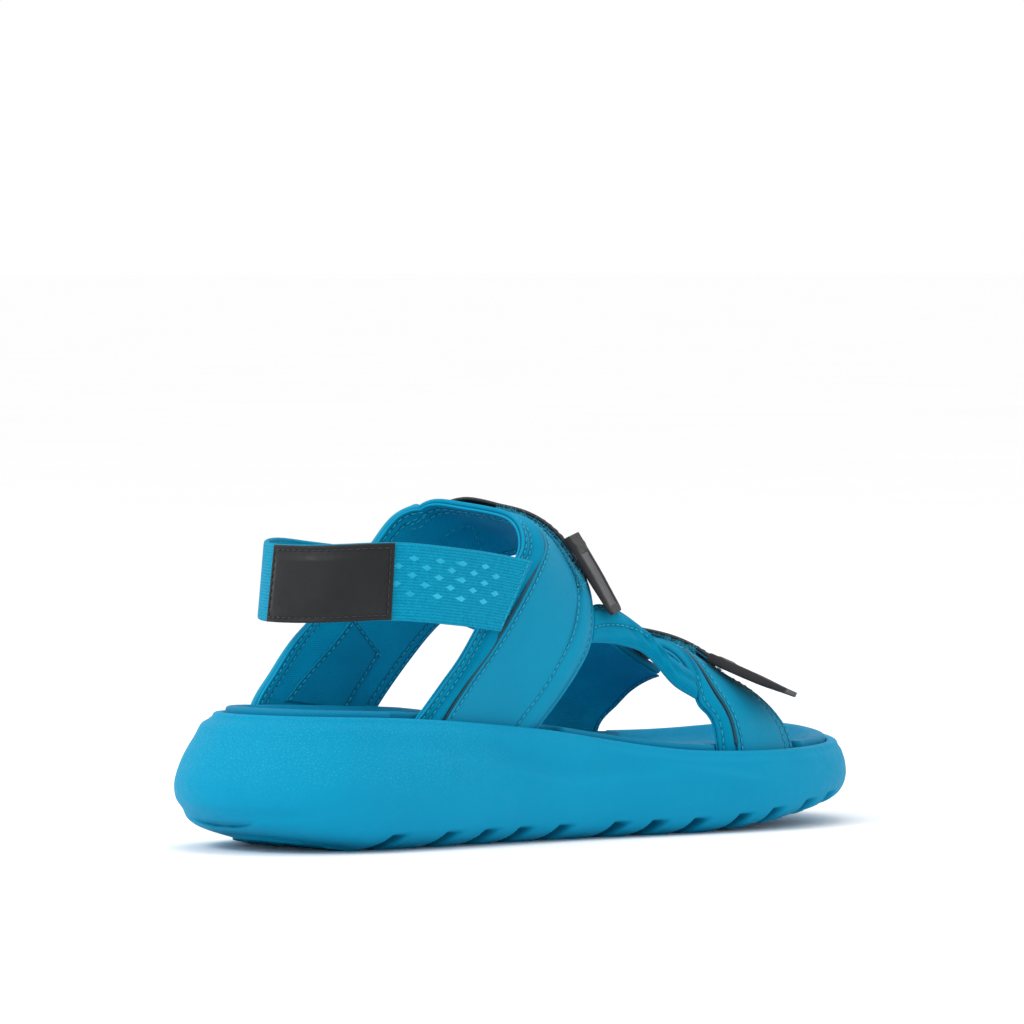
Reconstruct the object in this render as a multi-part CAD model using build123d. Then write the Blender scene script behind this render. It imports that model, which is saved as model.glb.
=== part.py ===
from build123d import *
import os
import numpy as np

# Strappy sport sandal, right foot.  Millimetres, +Z up, toe towards +X, outer (lateral) side
# towards -Y, ground at Z = 0 and the origin under the middle of the sole.

# ---------------------------------------------------------------- driving dimensions
RIM_OUTLINE = [  # outer edge of the sole's top rim, seen from above
    (-134, 0), (-127, -19), (-110, -32), (-80, -37.5), (-40, -39.5), (0, -43), (40, -49.5),
    (75, -52.5), (105, -47), (128, -34), (142, -14), (147.5, 8), (141, 27), (124, 42),
    (98, 50.5), (65, 51.5), (30, 46), (-10, 39), (-50, 36), (-88, 36.5), (-113, 31), (-128, 18)]
RIM_X = [-149, -80, -30, 42, 80, 120, 149]
RIM_Z_LATERAL = [48, 45, 39.5, 29.5, 28.5, 29, 29.5]
RIM_Z_MEDIAL = [48, 46, 43.5, 32, 29.6, 29.6, 33]
BOTTOM_X = [-149, -138, -128, -116, -104, -30, 46, 72, 92, 112, 130, 149]
BOTTOM_Z = [9, 6, 4, 2, 0, 0, 0, 1.6, 3.8, 6, 8.5, 14]
BULGE_X = [-140, -110, -60, 0, 80, 120, 148]   # how far the side wall swells past the rim
BULGE = [15, 11, 7, 5, 3.5, 3.3, 2.8]
WALL_H = [0, 0.08, 0.22, 0.37, 0.60, 0.80, 0.93, 1.0, 1.6]
WALL_F = [-0.1, 0.44, 0.85, 1.0, 0.85, 0.52, 0.25, 0.0, -0.4]
BOTTOM_EDGE = 6.0          # rounding of the bottom edge
RIM_WIDTH = 4.0            # foam left outside the footbed
CAVITY_DEPTH = 10.0
FOOTBED_ABOVE_RIM = 2.0
SLACK = 0.3                # air between pieces

TREAD_X = [-112, -93, -69, -51, -35, -17, 7.8, 24, 42, 62, 78, 97, 112]
TAIL_SLOTS = [(-88, -15, -1), (-110, -36, 1), (55, 98, -1), (42, 86, 1)]
TREAD_DEPTH = 5.0
TREAD_WIDTH = 7.0

LINING = (0.0, 1.0)        # layer offsets outward from the foot form
PADDING = (1.2, 3.3)
OVERLAY = (3.6, 4.8)
LOOP = (5.0, 5.7)
HOOK = (6.1, 6.8)
STRAP = (7.0, 8.3)
PIPING = (3.7, 5.2)
MEDIAL_SHELL = (1.2, 4.0)
PANEL = (-1.0, -0.15)
BRIDGE = (0.3, 3.3)

FORM_X = [-110, -80, -60, -40, -22, -10, 0, 10, 20, 35, 50, 60, 72, 84, 100, 125]
FORM_TOP = [150, 142, 136, 126, 115.5, 110.5, 106, 100, 94, 83, 72.5, 65.5, 58.5, 52.5, 48, 44]
FORM_N_X = [-110, -22, -8, 2, 12, 25, 50, 125]
FORM_N = [4.5, 4.5, 3.3, 2.6, 2.3, 2.25, 2.35, 2.2]
FORM_RIDGE_X = [-110, -20, 0, 50, 100]
FORM_RIDGE_Y = [0, 2, 4, 5, 4]

BAND_AXIS = (-62.0, 91.0)  # where the heel band swings, X and Z
BAND_AX = 50.0             # heel band runs round a half ellipse
BAND_BY = 35.6
BAND_HALF = 13.6
BAND_THICK = 1.8
BAND_MID_X = [-113, -90, -66, -48, -33, -23]
BAND_MID_Z = [92.3, 93.3, 91.2, 89.0, 86.5, 84.5]


# ---------------------------------------------------------------- curves and the foot form
def smooth(points, n, closed=False):
    """Catmull-Rom curve through the points, n samples."""
    p = np.asarray(points, float)
    m = len(p)
    segs = m if closed else m - 1
    out = []
    for u in np.linspace(0, segs, n, endpoint=not closed):
        i = int(min(np.floor(u), segs - 1))
        f = u - i
        if closed:
            a, b, c, d = p[(i - 1) % m], p[i], p[(i + 1) % m], p[(i + 2) % m]
        else:
            b, c = p[i], p[i + 1]
            a = p[i - 1] if i > 0 else 2 * b - c
            d = p[i + 2] if i + 2 < m else 2 * c - b
        out.append(0.5 * (2 * b + (c - a) * f + (2 * a - 5 * b + 4 * c - d) * f ** 2
                          + (3 * b - a - 3 * c + d) * f ** 3))
    return np.array(out)


def soft_interp(x, xs, ys):
    """Piecewise smooth interpolation through a short table."""
    xs = np.asarray(xs, float)
    ys = np.asarray(ys, float)
    x = np.clip(np.asarray(x, float), xs[0], xs[-1])
    m = np.gradient(ys, xs)
    i = np.clip(np.searchsorted(xs, x) - 1, 0, len(xs) - 2)
    h = xs[i + 1] - xs[i]
    t = (x - xs[i]) / h
    return ((2 * t ** 3 - 3 * t ** 2 + 1) * ys[i] + (t ** 3 - 2 * t ** 2 + t) * h * m[i]
            + (3 * t ** 2 - 2 * t ** 3) * ys[i + 1] + (t ** 3 - t ** 2) * h * m[i + 1])


def outline(n=400):
    return smooth(RIM_OUTLINE, n, closed=True)


def outward(p):
    t = np.roll(p, -1, 0) - np.roll(p, 1, 0)
    n = np.c_[-t[:, 1], t[:, 0]]
    n /= np.linalg.norm(n, axis=1)[:, None]
    area = np.sum(p[:, 0] * np.roll(p[:, 1], -1) - p[:, 1] * np.roll(p[:, 0], -1))
    return -n if area > 0 else n


def rim_height(x, y):
    lat = soft_interp(x, RIM_X, RIM_Z_LATERAL)
    med = soft_interp(x, RIM_X, RIM_Z_MEDIAL)
    return lat + (med - lat) * (np.asarray(y, float) + 70) / 140


def bottom_height(x):
    return np.maximum(soft_interp(x, BOTTOM_X, BOTTOM_Z), 0)


FORM_INSET = RIM_WIDTH + SLACK + OVERLAY[1] + 0.4
BASE_LINE = outline(800) - outward(outline(800)) * FORM_INSET
LATERAL_EDGE = BASE_LINE[BASE_LINE[:, 1] < 0][np.argsort(BASE_LINE[BASE_LINE[:, 1] < 0][:, 0])]
MEDIAL_EDGE = BASE_LINE[BASE_LINE[:, 1] > 0][np.argsort(BASE_LINE[BASE_LINE[:, 1] > 0][:, 0])]


def form(x, q):
    """Point on the foot form: x along the foot, q 0 at the outer base, 0.5 ridge, 1 inner base."""
    x = np.asarray(x, float)
    q = np.asarray(q, float)
    n = soft_interp(x, FORM_N_X, FORM_N)
    ridge = soft_interp(x, FORM_RIDGE_X, FORM_RIDGE_Y)
    wl = -np.interp(x, LATERAL_EDGE[:, 0], LATERAL_EDGE[:, 1])
    wm = np.interp(x, MEDIAL_EDGE[:, 0], MEDIAL_EDGE[:, 1])
    c = np.cos(np.pi * q)
    s = np.sin(np.pi * q)
    r = (np.abs(c) ** n + np.abs(s) ** n) ** (-1 / n)
    y = np.where(c >= 0, ridge - (ridge + wl) * r * c, ridge - (wm - ridge) * r * c)
    base = rim_height(x, y) - CAVITY_DEPTH + SLACK
    top = soft_interp(x, FORM_X, FORM_TOP)
    mid = rim_height(x, ridge) - CAVITY_DEPTH + SLACK
    return np.stack([x, y, base + (top - mid) * r * s], -1)


def skin(x, q, off):
    """Point lifted off the foot form by off."""
    x = np.asarray(x, float)
    q = np.asarray(q, float)
    e = 0.002
    du = form(x + 0.5, q) - form(x - 0.5, q)
    dv = form(x, q + e) - form(x, q - e)
    n = np.cross(du, dv)
    n /= np.linalg.norm(n, axis=-1)[..., None]
    return form(x, q) + n * np.asarray(off)[..., None]


# ---------------------------------------------------------------- edges of the upper's pieces
COLLAR_EDGE = [(-84, 0), (-75, 0.031), (-64.3, 0.068), (-55.6, 0.099), (-46.5, 0.14),
               (-35, 0.195), (-24.5, 0.25), (-20.5, 0.35), (-22.5, 0.48), (-24.5, 0.60), (-29, 0.72)]
QUARTER_SEAM = [0.26, 0.20, 0.19, 0.24, 0.29, 0.32, 0.32, 0.34, 0.39, 0.40, 0.41]
QUARTER_FRONT = [(-30, 0), (-22.5, 0.037), (-12.6, 0.082), (-4.8, 0.121), (2.4, 0.167),
                 (7.5, 0.23), (11, 0.31), (12.5, 0.40), (12.5, 0.50), (9.5, 0.61), (3, 0.72)]
MEDIAL_REAR = [(-104.5, 1), (-101, 0.966), (-91, 0.933), (-81.3, 0.901), (-70.5, 0.873),
               (-59, 0.84), (-45, 0.795), (-35, 0.745)]
MEDIAL_FRONT = [(-50, 1), (-43.8, 0.966), (-32.7, 0.921), (-21.3, 0.877), (-8.5, 0.829),
                (0, 0.79), (5, 0.765), (8, 0.745)]
POINT_REAR = [(-91, 0.962), (-76, 0.938), (-62, 0.906), (-56, 0.878)]
POINT_FRONT = [(-58, 0.958), (-48, 0.933), (-39, 0.895), (-51, 0.868)]
BRIDGE_LOW = [(3.6, 0.172), (11, 0.192), (23.7, 0.217), (33.9, 0.234), (38.6, 0.222),
              (44, 0.185), (52.2, 0.171)]
BRIDGE_HIGH = [(9.6, 0.25), (16, 0.275), (24, 0.289), (31, 0.29), (37.5, 0.28), (44, 0.25),
               (53.6, 0.245)]
MEDIAL_BRIDGE_LOW = [(-5.6, 0.815), (8, 0.80), (20, 0.785), (30, 0.79), (38, 0.81), (45, 0.83)]
MEDIAL_BRIDGE_HIGH = [(5.5, 0.76), (14, 0.73), (24, 0.715), (33, 0.72), (41, 0.74), (48.5, 0.755)]
ANCHOR_REAR = [(58, 0), (58.2, 0.112), (56.7, 0.144), (53, 0.168), (54.5, 0.24), (57, 0.32),
               (59.5, 0.41), (61, 0.50)]
ANCHOR_SEAM = [0.20, 0.18, 0.18, 0.19, 0.15, 0.12, 0.10, 0.12]
ANCHOR_FRONT = [(95, 0), (94.6, 0.10), (94.3, 0.145), (92.5, 0.20), (90, 0.265), (87.5, 0.34),
                (84.5, 0.42), (82, 0.50)]
MEDIAL_ANCHOR_REAR = [(45, 1), (45, 0.91), (46, 0.84), (49, 0.755), (52.5, 0.665), (55, 0.58)]
MEDIAL_ANCHOR_FRONT = [(80, 1), (79.5, 0.883), (84, 0.793), (85, 0.72), (85, 0.65), (84, 0.58)]
INSTEP_STRAP_REAR = [(-28, 0.80), (-21, 0.70), (-15, 0.60), (-10, 0.50), (-6.5, 0.42),
                     (-2.5, 0.35), (1.5, 0.295)]
INSTEP_STRAP_FRONT = [(-10, 0.80), (-1, 0.71), (7, 0.63), (13, 0.56), (17, 0.50), (19, 0.46),
                      (20, 0.43)]
INSTEP_LOOP_REAR = [(3, 0.25), (-2, 0.335), (-6, 0.42), (-8, 0.49)]
INSTEP_LOOP_FRONT = [(9, 0.31), (11, 0.38), (11.5, 0.46), (10, 0.54)]
TOE_STRAP_REAR = [(50, 0.80), (56, 0.68), (60, 0.56), (63, 0.46), (65, 0.37), (67, 0.29)]
TOE_STRAP_FRONT = [(74, 0.80), (79, 0.70), (82, 0.62), (84, 0.54), (86, 0.47), (87, 0.40)]
TOE_LOOP_REAR = [(66.5, 0.34), (66, 0.40), (66, 0.46)]
TOE_LOOP_FRONT = [(83.5, 0.37), (82.5, 0.43), (80.5, 0.49)]

# corner, length direction, face normal, size (length, width, thickness)
INSTEP_TAB = ((1.5, -25.0, 106.6), (11.0, -13.0, -28.7), (0.35, -0.70, 0.60), (32.0, 18.0, 3.6))
TOE_TAB = ((66.7, -30.1, 63.4), (15.0, -25.0, -13.0), (0.33, -0.27, 0.90), (31.0, 25.0, 3.6))


# ---------------------------------------------------------------- solid helpers
def onto_plane(p, c, n):
    """Slide points along the strip's own direction onto the section's plane."""
    return p - ((p - c) @ n)[:, None] * n


def ring_wire(outer, inner):
    o = [tuple(v) for v in outer]
    i = [tuple(v) for v in inner]
    edges = [Edge.make_spline(o), Edge.make_line(o[-1], i[-1]),
             Edge.make_spline(i[::-1]), Edge.make_line(i[0], o[0])]
    return Wire(edges)


def strip(rear, front, lo, hi, sections=17, across=6, start=0.0, end=1.0, s0=0.0, s1=1.0):
    """Layer between two edge curves on the foot form, from offset lo to offset hi.
    s0 and s1 (numbers, or one per control point) keep only part of the width."""
    r = smooth(rear, 200)
    f = smooth(front, 200)
    at = np.linspace(0, 1, len(rear))
    first = np.broadcast_to(s0, len(rear))
    last = np.broadcast_to(s1, len(rear))
    wires = []
    for t in np.linspace(start, end, sections):
        k = t * 199
        i = int(min(np.floor(k), 198))
        a = r[i] + (r[i + 1] - r[i]) * (k - i)
        b = f[i] + (f[i + 1] - f[i]) * (k - i)
        whole = a + (b - a) * np.linspace(0, 1, 5)[:, None]
        base = form(whole[:, 0], whole[:, 1])
        ahead = form(*((r[i + 1] + f[i + 1]) / 2)) - form(*((r[i] + f[i]) / 2))
        chord = base[-1] - base[0]
        n = ahead - chord * (ahead @ chord) / (chord @ chord)
        n /= np.linalg.norm(n)
        u = np.interp(t, at, first)
        v = np.interp(t, at, last)
        xq = a + (b - a) * np.linspace(u, v, across)[:, None]
        o = skin(xq[:, 0], xq[:, 1], np.full(across, float(hi)))
        m = skin(xq[:, 0], xq[:, 1], np.full(across, float(lo)))
        c = base.mean(0)
        wires.append(ring_wire(onto_plane(o, c, n), onto_plane(m, c, n)))
    return Solid.make_loft(wires, ruled=False)


def closed_wire(points, z, arcs=6):
    """Closed curve in arcs that share their end tangents."""
    p = np.asarray(points, float)
    m = len(p)
    t = np.roll(p, -1, 0) - np.roll(p, 1, 0)
    t /= np.linalg.norm(t, axis=1)[:, None]
    edges = []
    for k in range(arcs):
        idx = [(m // arcs * k + j) % m for j in range(m // arcs + 1)]
        pts = [(float(p[i, 0]), float(p[i, 1]), float(z)) for i in idx]
        ends = [(float(t[i, 0]), float(t[i, 1]), 0.0) for i in (idx[0], idx[-1])]
        edges.append(Edge.make_spline(pts, tangents=ends))
    return Wire(edges)


def closed_face(points, z):
    return Face(closed_wire(points, z))


def plan_prism(inset, z0, z1, n=36):
    p = outline(n)
    p = p - outward(p) * inset
    return extrude(closed_face(p, z0), amount=z1 - z0, dir=(0, 0, 1))


def side_slab(low, high, n=15):
    """Solid between two height functions of x and y, wider than the sole."""
    xs = np.linspace(-160, 160, n)
    wires = []
    for y in (-70.0, 70.0):
        lo = [(float(x), y, float(low(np.clip(x, -149, 149), y))) for x in xs]
        hi = [(float(x), y, float(high(np.clip(x, -149, 149), y))) for x in xs]
        wires.append(Wire([Edge.make_spline(lo), Edge.make_line(lo[-1], hi[-1]),
                           Edge.make_spline(hi[::-1]), Edge.make_line(hi[0], lo[0])]))
    return Solid.make_loft(wires, ruled=True)


def biggest(shape):
    return max(shape.solids(), key=lambda v: v.volume)


# ---------------------------------------------------------------- sole
def wall_offset(x, z, y):
    zb = bottom_height(x)
    h = (z - zb) / (rim_height(x, y) - zb)
    return soft_interp(x, BULGE_X, BULGE) * soft_interp(h, WALL_H, WALL_F) - BOTTOM_EDGE * np.exp(
        -np.maximum(z - zb, 0) / 2.2)


def make_midsole():
    p = outline(36)
    n = outward(p)
    wires = []
    for z in (-1.0, 0.6, 2.5, 6.0, 11.0, 17.0, 24.0, 31.0, 37.0, 42.0, 46.0, 50.0, 56.0):
        ring = p + n * wall_offset(p[:, 0], z, p[:, 1])[:, None]
        wires.append(closed_wire(ring, z))
    body = Solid.make_loft(wires, ruled=True)
    body = body & side_slab(lambda x, y: bottom_height(x) - 0.4, rim_height)
    body = body - Pos(0, 0, -10) * Box(400, 200, 20)
    cavity = plan_prism(RIM_WIDTH, 5, 80) & side_slab(
        lambda x, y: rim_height(x, y) - CAVITY_DEPTH, lambda x, y: 90.0)
    body = body - cavity
    for x in TREAD_X:
        z = float(bottom_height(x))
        cut = Polygon((x - TREAD_WIDTH, z - 3), (x, z - 3), (x, z + TREAD_DEPTH),
                      (x - 2.0, z + TREAD_DEPTH), (x - TREAD_WIDTH, z + 0.3), align=None)
        cut = extrude(Plane.XZ * cut, amount=75, both=True)
        body = body - (cut & side_slab(lambda a, b: -20.0, lambda a, b: 60.0))
    return body


def tail_slot(x0, x1, side):
    """Space the lasted strap tail takes out of the footbed's edge."""
    ring = plan_prism(RIM_WIDTH - 1.0, 0, 90) - plan_prism(RIM_WIDTH + 9.5, -5, 95)
    return ring & Pos((x0 + x1) / 2, side * 50, 40) * Box(x1 - x0, 90, 120)


def make_footbed():
    bed = plan_prism(RIM_WIDTH + SLACK, 5, 80) & side_slab(
        lambda x, y: rim_height(x, y) - CAVITY_DEPTH + SLACK,
        lambda x, y: rim_height(x, y) + FOOTBED_ABOVE_RIM)
    dish = plan_prism(RIM_WIDTH + 12.0, 5, 90) & side_slab(
        lambda x, y: rim_height(x, y) - 2.0, lambda x, y: 90.0)
    bed = bed - dish
    for x0, x1, side in TAIL_SLOTS:
        bed = bed - tail_slot(x0, x1, side)
    return bed


# ---------------------------------------------------------------- heel band
def band_point(phi, w, off):
    """Point on the heel band: phi -90..90 round the heel, w -1..1 up its width."""
    a = np.radians(phi)
    x = BAND_AXIS[0] - (BAND_AX + off) * np.cos(a)
    y = (BAND_BY + off) * np.sin(a)
    z = float(soft_interp(x, BAND_MID_X, BAND_MID_Z)) + BAND_HALF * w
    return (x + 1.8 * np.cos(a) * (w + 1), y, z)


def band_shell(phi0, phi1, lo, hi, grow=0.0, sections=13):
    wires = []
    w = 1.0 + grow
    for phi in np.linspace(phi0, phi1, sections):
        ring = [band_point(phi, -w, lo), band_point(phi, w, lo),
                band_point(phi, w, hi), band_point(phi, -w, hi)]
        wires.append(Wire.make_polygon(ring, close=True))
    return Solid.make_loft(wires, ruled=False)


def axis_disc(radius):
    return Solid.make_cylinder(radius, 120, Plane(origin=(BAND_AXIS[0], 60, BAND_AXIS[1]),
                                                  z_dir=(0, -1, 0)))


def make_heel_band():
    return band_shell(-89.5, 89.5, 0.0, BAND_THICK) - axis_disc(BAND_HALF + 1.6)


def make_band_end(side):
    """Sewn end of the heel band, flat against one quarter."""
    ax, az = BAND_AXIS
    if side < 0:
        tip = [(-42.0, 74.2), (-26.5, 97.6)]
    else:
        tip = [(-41.0, 74.6), (-38.0, 100.2)]
    low = [(ax, az - BAND_HALF), (-50, 75.8), tip[0]]
    high = [tip[1], (-46, 102.4), (ax, az + BAND_HALF)]
    face = Face(Wire([
        Edge.make_spline([(x, 0, z) for x, z in low]),
        Edge.make_line((tip[0][0], 0, tip[0][1]), (tip[1][0], 0, tip[1][1])),
        Edge.make_spline([(x, 0, z) for x, z in high]),
        Edge.make_three_point_arc((ax, 0, az + BAND_HALF), (ax - BAND_HALF, 0, az),
                                  (ax, 0, az - BAND_HALF))]))
    y0 = side * BAND_BY if side > 0 else side * (BAND_BY + BAND_THICK)
    return extrude(face.translate((0, y0, 0)), amount=BAND_THICK, dir=(0, 1, 0))


# ---------------------------------------------------------------- pull tabs
def make_tab(tab, rear, front):
    corner, along, normal, (length, width, thick) = tab
    lx = np.array(along) / np.linalg.norm(along)
    nz = np.array(normal) - lx * (np.array(normal) @ lx)
    nz /= np.linalg.norm(nz)
    plane = Plane(origin=tuple(corner), x_dir=tuple(lx), z_dir=tuple(nz))
    blank = extrude(plane * Pos(length / 2, width / 2, -thick) * RectangleRounded(
        length, width, 3.0), amount=thick)
    panel = extrude(plane * Pos(length * 0.62, width / 2, -0.9) * RectangleRounded(
        length * 0.6, width - 6, 2.0), amount=2.0)
    sleeve = strip(rear, front, HOOK[0] - 0.3, STRAP[1] + 0.25, sections=21, s0=-0.03, s1=1.03)
    return biggest(blank - panel - sleeve)


def build_parts():
    quarter = (COLLAR_EDGE, QUARTER_FRONT)
    medial = (MEDIAL_REAR, MEDIAL_FRONT)
    anchor = (ANCHOR_REAR, ANCHOR_FRONT)
    medial_anchor = (MEDIAL_ANCHOR_REAR, MEDIAL_ANCHOR_FRONT)
    instep = (INSTEP_STRAP_REAR, INSTEP_STRAP_FRONT)
    toe = (TOE_STRAP_REAR, TOE_STRAP_FRONT)
    seam = np.array(QUARTER_SEAM)
    toe_seam = np.array(ANCHOR_SEAM)
    return {
        "midsole": make_midsole(),
        "footbed": make_footbed(),
        "lateral_quarter_lining": strip(*quarter, *LINING, sections=21),
        "lateral_quarter_padding": strip(*quarter, *PADDING, sections=21),
        "lateral_quarter_overlay": strip(*quarter, *OVERLAY, sections=21, s0=seam),
        "lateral_quarter_piping": strip(*quarter, *PIPING, sections=21, across=3, start=0.1,
                                        s0=seam - 0.055, s1=seam - 0.018),
        "medial_quarter_lining": strip(*medial, *LINING),
        "medial_quarter_overlay": strip(*medial, *MEDIAL_SHELL),
        "medial_quarter_panel": strip(POINT_REAR, POINT_FRONT, *PANEL, sections=7),
        "lateral_bridge": strip(BRIDGE_LOW, BRIDGE_HIGH, *BRIDGE, sections=13),
        "medial_bridge": strip(MEDIAL_BRIDGE_LOW, MEDIAL_BRIDGE_HIGH, *BRIDGE, sections=11),
        "lateral_anchor_lining": strip(*anchor, *LINING),
        "lateral_anchor_padding": strip(*anchor, *PADDING),
        "lateral_anchor_overlay": strip(*anchor, *OVERLAY, s0=toe_seam),
        "lateral_anchor_piping": strip(*anchor, *PIPING, across=3, start=0.12, end=0.62,
                                       s0=toe_seam - 0.075, s1=toe_seam - 0.025),
        "medial_anchor_lining": strip(*medial_anchor, *LINING),
        "medial_anchor_overlay": strip(*medial_anchor, *MEDIAL_SHELL),
        "instep_loop_patch": strip(INSTEP_LOOP_REAR, INSTEP_LOOP_FRONT, *LOOP, sections=7),
        "instep_strap": strip(*instep, *STRAP, sections=19, start=0.1),
        "instep_hook_strip": strip(*instep, *HOOK, sections=9, start=0.5, end=0.95),
        "instep_pull_tab": make_tab(INSTEP_TAB, *instep),
        "toe_loop_patch": strip(TOE_LOOP_REAR, TOE_LOOP_FRONT, *LOOP, sections=7),
        "toe_strap": strip(*toe, *STRAP, sections=21),
        "toe_hook_strip": strip(*toe, *HOOK, sections=9, start=0.5, end=0.95),
        "toe_pull_tab": make_tab(TOE_TAB, *toe),
        "heel_band": make_heel_band(),
        "heel_band_lateral_end": make_band_end(-1),
        "heel_band_medial_end": make_band_end(1),
        "heel_patch": band_shell(-58, 8, BAND_THICK + 0.15, BAND_THICK + 1.8, grow=-0.01)}


os.makedirs("parts", exist_ok=True)
for name, shape in build_parts().items():
    export_step(shape, "parts/" + name + ".step")
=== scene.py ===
import math

import bpy
import numpy as np
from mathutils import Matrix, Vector


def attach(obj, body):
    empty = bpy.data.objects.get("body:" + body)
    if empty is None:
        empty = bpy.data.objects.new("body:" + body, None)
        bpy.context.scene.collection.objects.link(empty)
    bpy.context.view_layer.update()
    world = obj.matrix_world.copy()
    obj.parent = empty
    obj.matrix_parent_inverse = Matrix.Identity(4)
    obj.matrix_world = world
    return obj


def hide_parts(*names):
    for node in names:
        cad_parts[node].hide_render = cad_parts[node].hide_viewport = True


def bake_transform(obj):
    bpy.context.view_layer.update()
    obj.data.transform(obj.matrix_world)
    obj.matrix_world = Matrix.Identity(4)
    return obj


# Strappy sport sandal, right foot.  The shape functions work in millimetres, +Z up, toe towards
# +X, lateral side towards -Y; make_object turns millimetres into the scene's metres.
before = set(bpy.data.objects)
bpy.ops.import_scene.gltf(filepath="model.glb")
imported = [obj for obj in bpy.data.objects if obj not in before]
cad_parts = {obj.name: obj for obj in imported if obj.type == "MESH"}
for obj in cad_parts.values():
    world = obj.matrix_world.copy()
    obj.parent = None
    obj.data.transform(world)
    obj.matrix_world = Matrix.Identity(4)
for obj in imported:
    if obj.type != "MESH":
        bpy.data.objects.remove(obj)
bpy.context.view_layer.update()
MM = 0.001

# ---------------------------------------------------------------- driving dimensions
RIM_OUTLINE = [  # outer edge of the sole's top rim, seen from above
    (-134, 0), (-127, -19), (-110, -32), (-80, -37.5), (-40, -39.5), (0, -43), (40, -49.5),
    (75, -52.5), (105, -47), (128, -34), (142, -14), (147.5, 8), (141, 27), (124, 42),
    (98, 50.5), (65, 51.5), (30, 46), (-10, 39), (-50, 36), (-88, 36.5), (-113, 31), (-128, 18)]
RIM_X = [-149, -80, -30, 42, 80, 120, 149]
RIM_Z_LATERAL = [48, 45, 39.5, 29.5, 28.5, 29, 29.5]
RIM_Z_MEDIAL = [48, 46, 43.5, 32, 29.6, 29.6, 33]
BOTTOM_X = [-149, -138, -128, -116, -104, -30, 46, 72, 92, 112, 130, 149]
BOTTOM_Z = [9, 6, 4, 2, 0, 0, 0, 1.6, 3.8, 6, 8.5, 14]
BULGE_X = [-140, -110, -60, 0, 80, 120, 148]   # how far the side wall swells past the rim
BULGE = [15, 11, 7, 5, 3.5, 3.3, 2.8]
WALL_H = [0, 0.08, 0.22, 0.37, 0.60, 0.80, 0.93, 1.0, 1.6]
WALL_F = [-0.1, 0.44, 0.85, 1.0, 0.85, 0.52, 0.25, 0.0, -0.4]
BOTTOM_EDGE = 6.0          # rounding of the bottom edge
RIM_WIDTH = 4.0            # foam left outside the footbed
CAVITY_DEPTH = 10.0
FOOTBED_ABOVE_RIM = 2.0
SLACK = 0.3                # air between pieces

TREAD_X = [-112, -93, -69, -51, -35, -17, 7.8, 24, 42, 62, 78, 97, 112]
TAIL_SLOTS = [(-88, -15, -1), (-110, -36, 1), (55, 98, -1), (42, 86, 1)]
TREAD_DEPTH = 5.0
TREAD_WIDTH = 7.0

LINING = (0.0, 1.0)        # layer offsets outward from the foot form
OVERLAY = (3.6, 4.8)
HOOK = (6.1, 6.8)
STRAP = (7.0, 8.3)

FORM_X = [-110, -80, -60, -40, -22, -10, 0, 10, 20, 35, 50, 60, 72, 84, 100, 125]
FORM_TOP = [150, 142, 136, 126, 115.5, 110.5, 106, 100, 94, 83, 72.5, 65.5, 58.5, 52.5, 48, 44]
FORM_N_X = [-110, -22, -8, 2, 12, 25, 50, 125]
FORM_N = [4.5, 4.5, 3.3, 2.6, 2.3, 2.25, 2.35, 2.2]
FORM_RIDGE_X = [-110, -20, 0, 50, 100]
FORM_RIDGE_Y = [0, 2, 4, 5, 4]

BAND_AXIS = (-62.0, 91.0)  # where the heel band swings, X and Z
BAND_AX = 50.0             # heel band runs round a half ellipse
BAND_BY = 35.6
BAND_HALF = 13.6
BAND_THICK = 1.8
BAND_MID_X = [-113, -90, -66, -48, -33, -23]
BAND_MID_Z = [92.3, 93.3, 91.2, 89.0, 86.5, 84.5]


# ---------------------------------------------------------------- curves and the foot form
def smooth(points, n, closed=False):
    """Catmull-Rom curve through the points, n samples."""
    p = np.asarray(points, float)
    m = len(p)
    segs = m if closed else m - 1
    out = []
    for u in np.linspace(0, segs, n, endpoint=not closed):
        i = int(min(np.floor(u), segs - 1))
        f = u - i
        if closed:
            a, b, c, d = p[(i - 1) % m], p[i], p[(i + 1) % m], p[(i + 2) % m]
        else:
            b, c = p[i], p[i + 1]
            a = p[i - 1] if i > 0 else 2 * b - c
            d = p[i + 2] if i + 2 < m else 2 * c - b
        out.append(0.5 * (2 * b + (c - a) * f + (2 * a - 5 * b + 4 * c - d) * f ** 2
                          + (3 * b - a - 3 * c + d) * f ** 3))
    return np.array(out)


def soft_interp(x, xs, ys):
    """Piecewise smooth interpolation through a short table."""
    xs = np.asarray(xs, float)
    ys = np.asarray(ys, float)
    x = np.clip(np.asarray(x, float), xs[0], xs[-1])
    m = np.gradient(ys, xs)
    i = np.clip(np.searchsorted(xs, x) - 1, 0, len(xs) - 2)
    h = xs[i + 1] - xs[i]
    t = (x - xs[i]) / h
    return ((2 * t ** 3 - 3 * t ** 2 + 1) * ys[i] + (t ** 3 - 2 * t ** 2 + t) * h * m[i]
            + (3 * t ** 2 - 2 * t ** 3) * ys[i + 1] + (t ** 3 - t ** 2) * h * m[i + 1])


def outline(n=400):
    return smooth(RIM_OUTLINE, n, closed=True)


def outward(p):
    t = np.roll(p, -1, 0) - np.roll(p, 1, 0)
    n = np.c_[-t[:, 1], t[:, 0]]
    n /= np.linalg.norm(n, axis=1)[:, None]
    area = np.sum(p[:, 0] * np.roll(p[:, 1], -1) - p[:, 1] * np.roll(p[:, 0], -1))
    return -n if area > 0 else n


def rim_height(x, y):
    lat = soft_interp(x, RIM_X, RIM_Z_LATERAL)
    med = soft_interp(x, RIM_X, RIM_Z_MEDIAL)
    return lat + (med - lat) * (np.asarray(y, float) + 70) / 140


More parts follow.
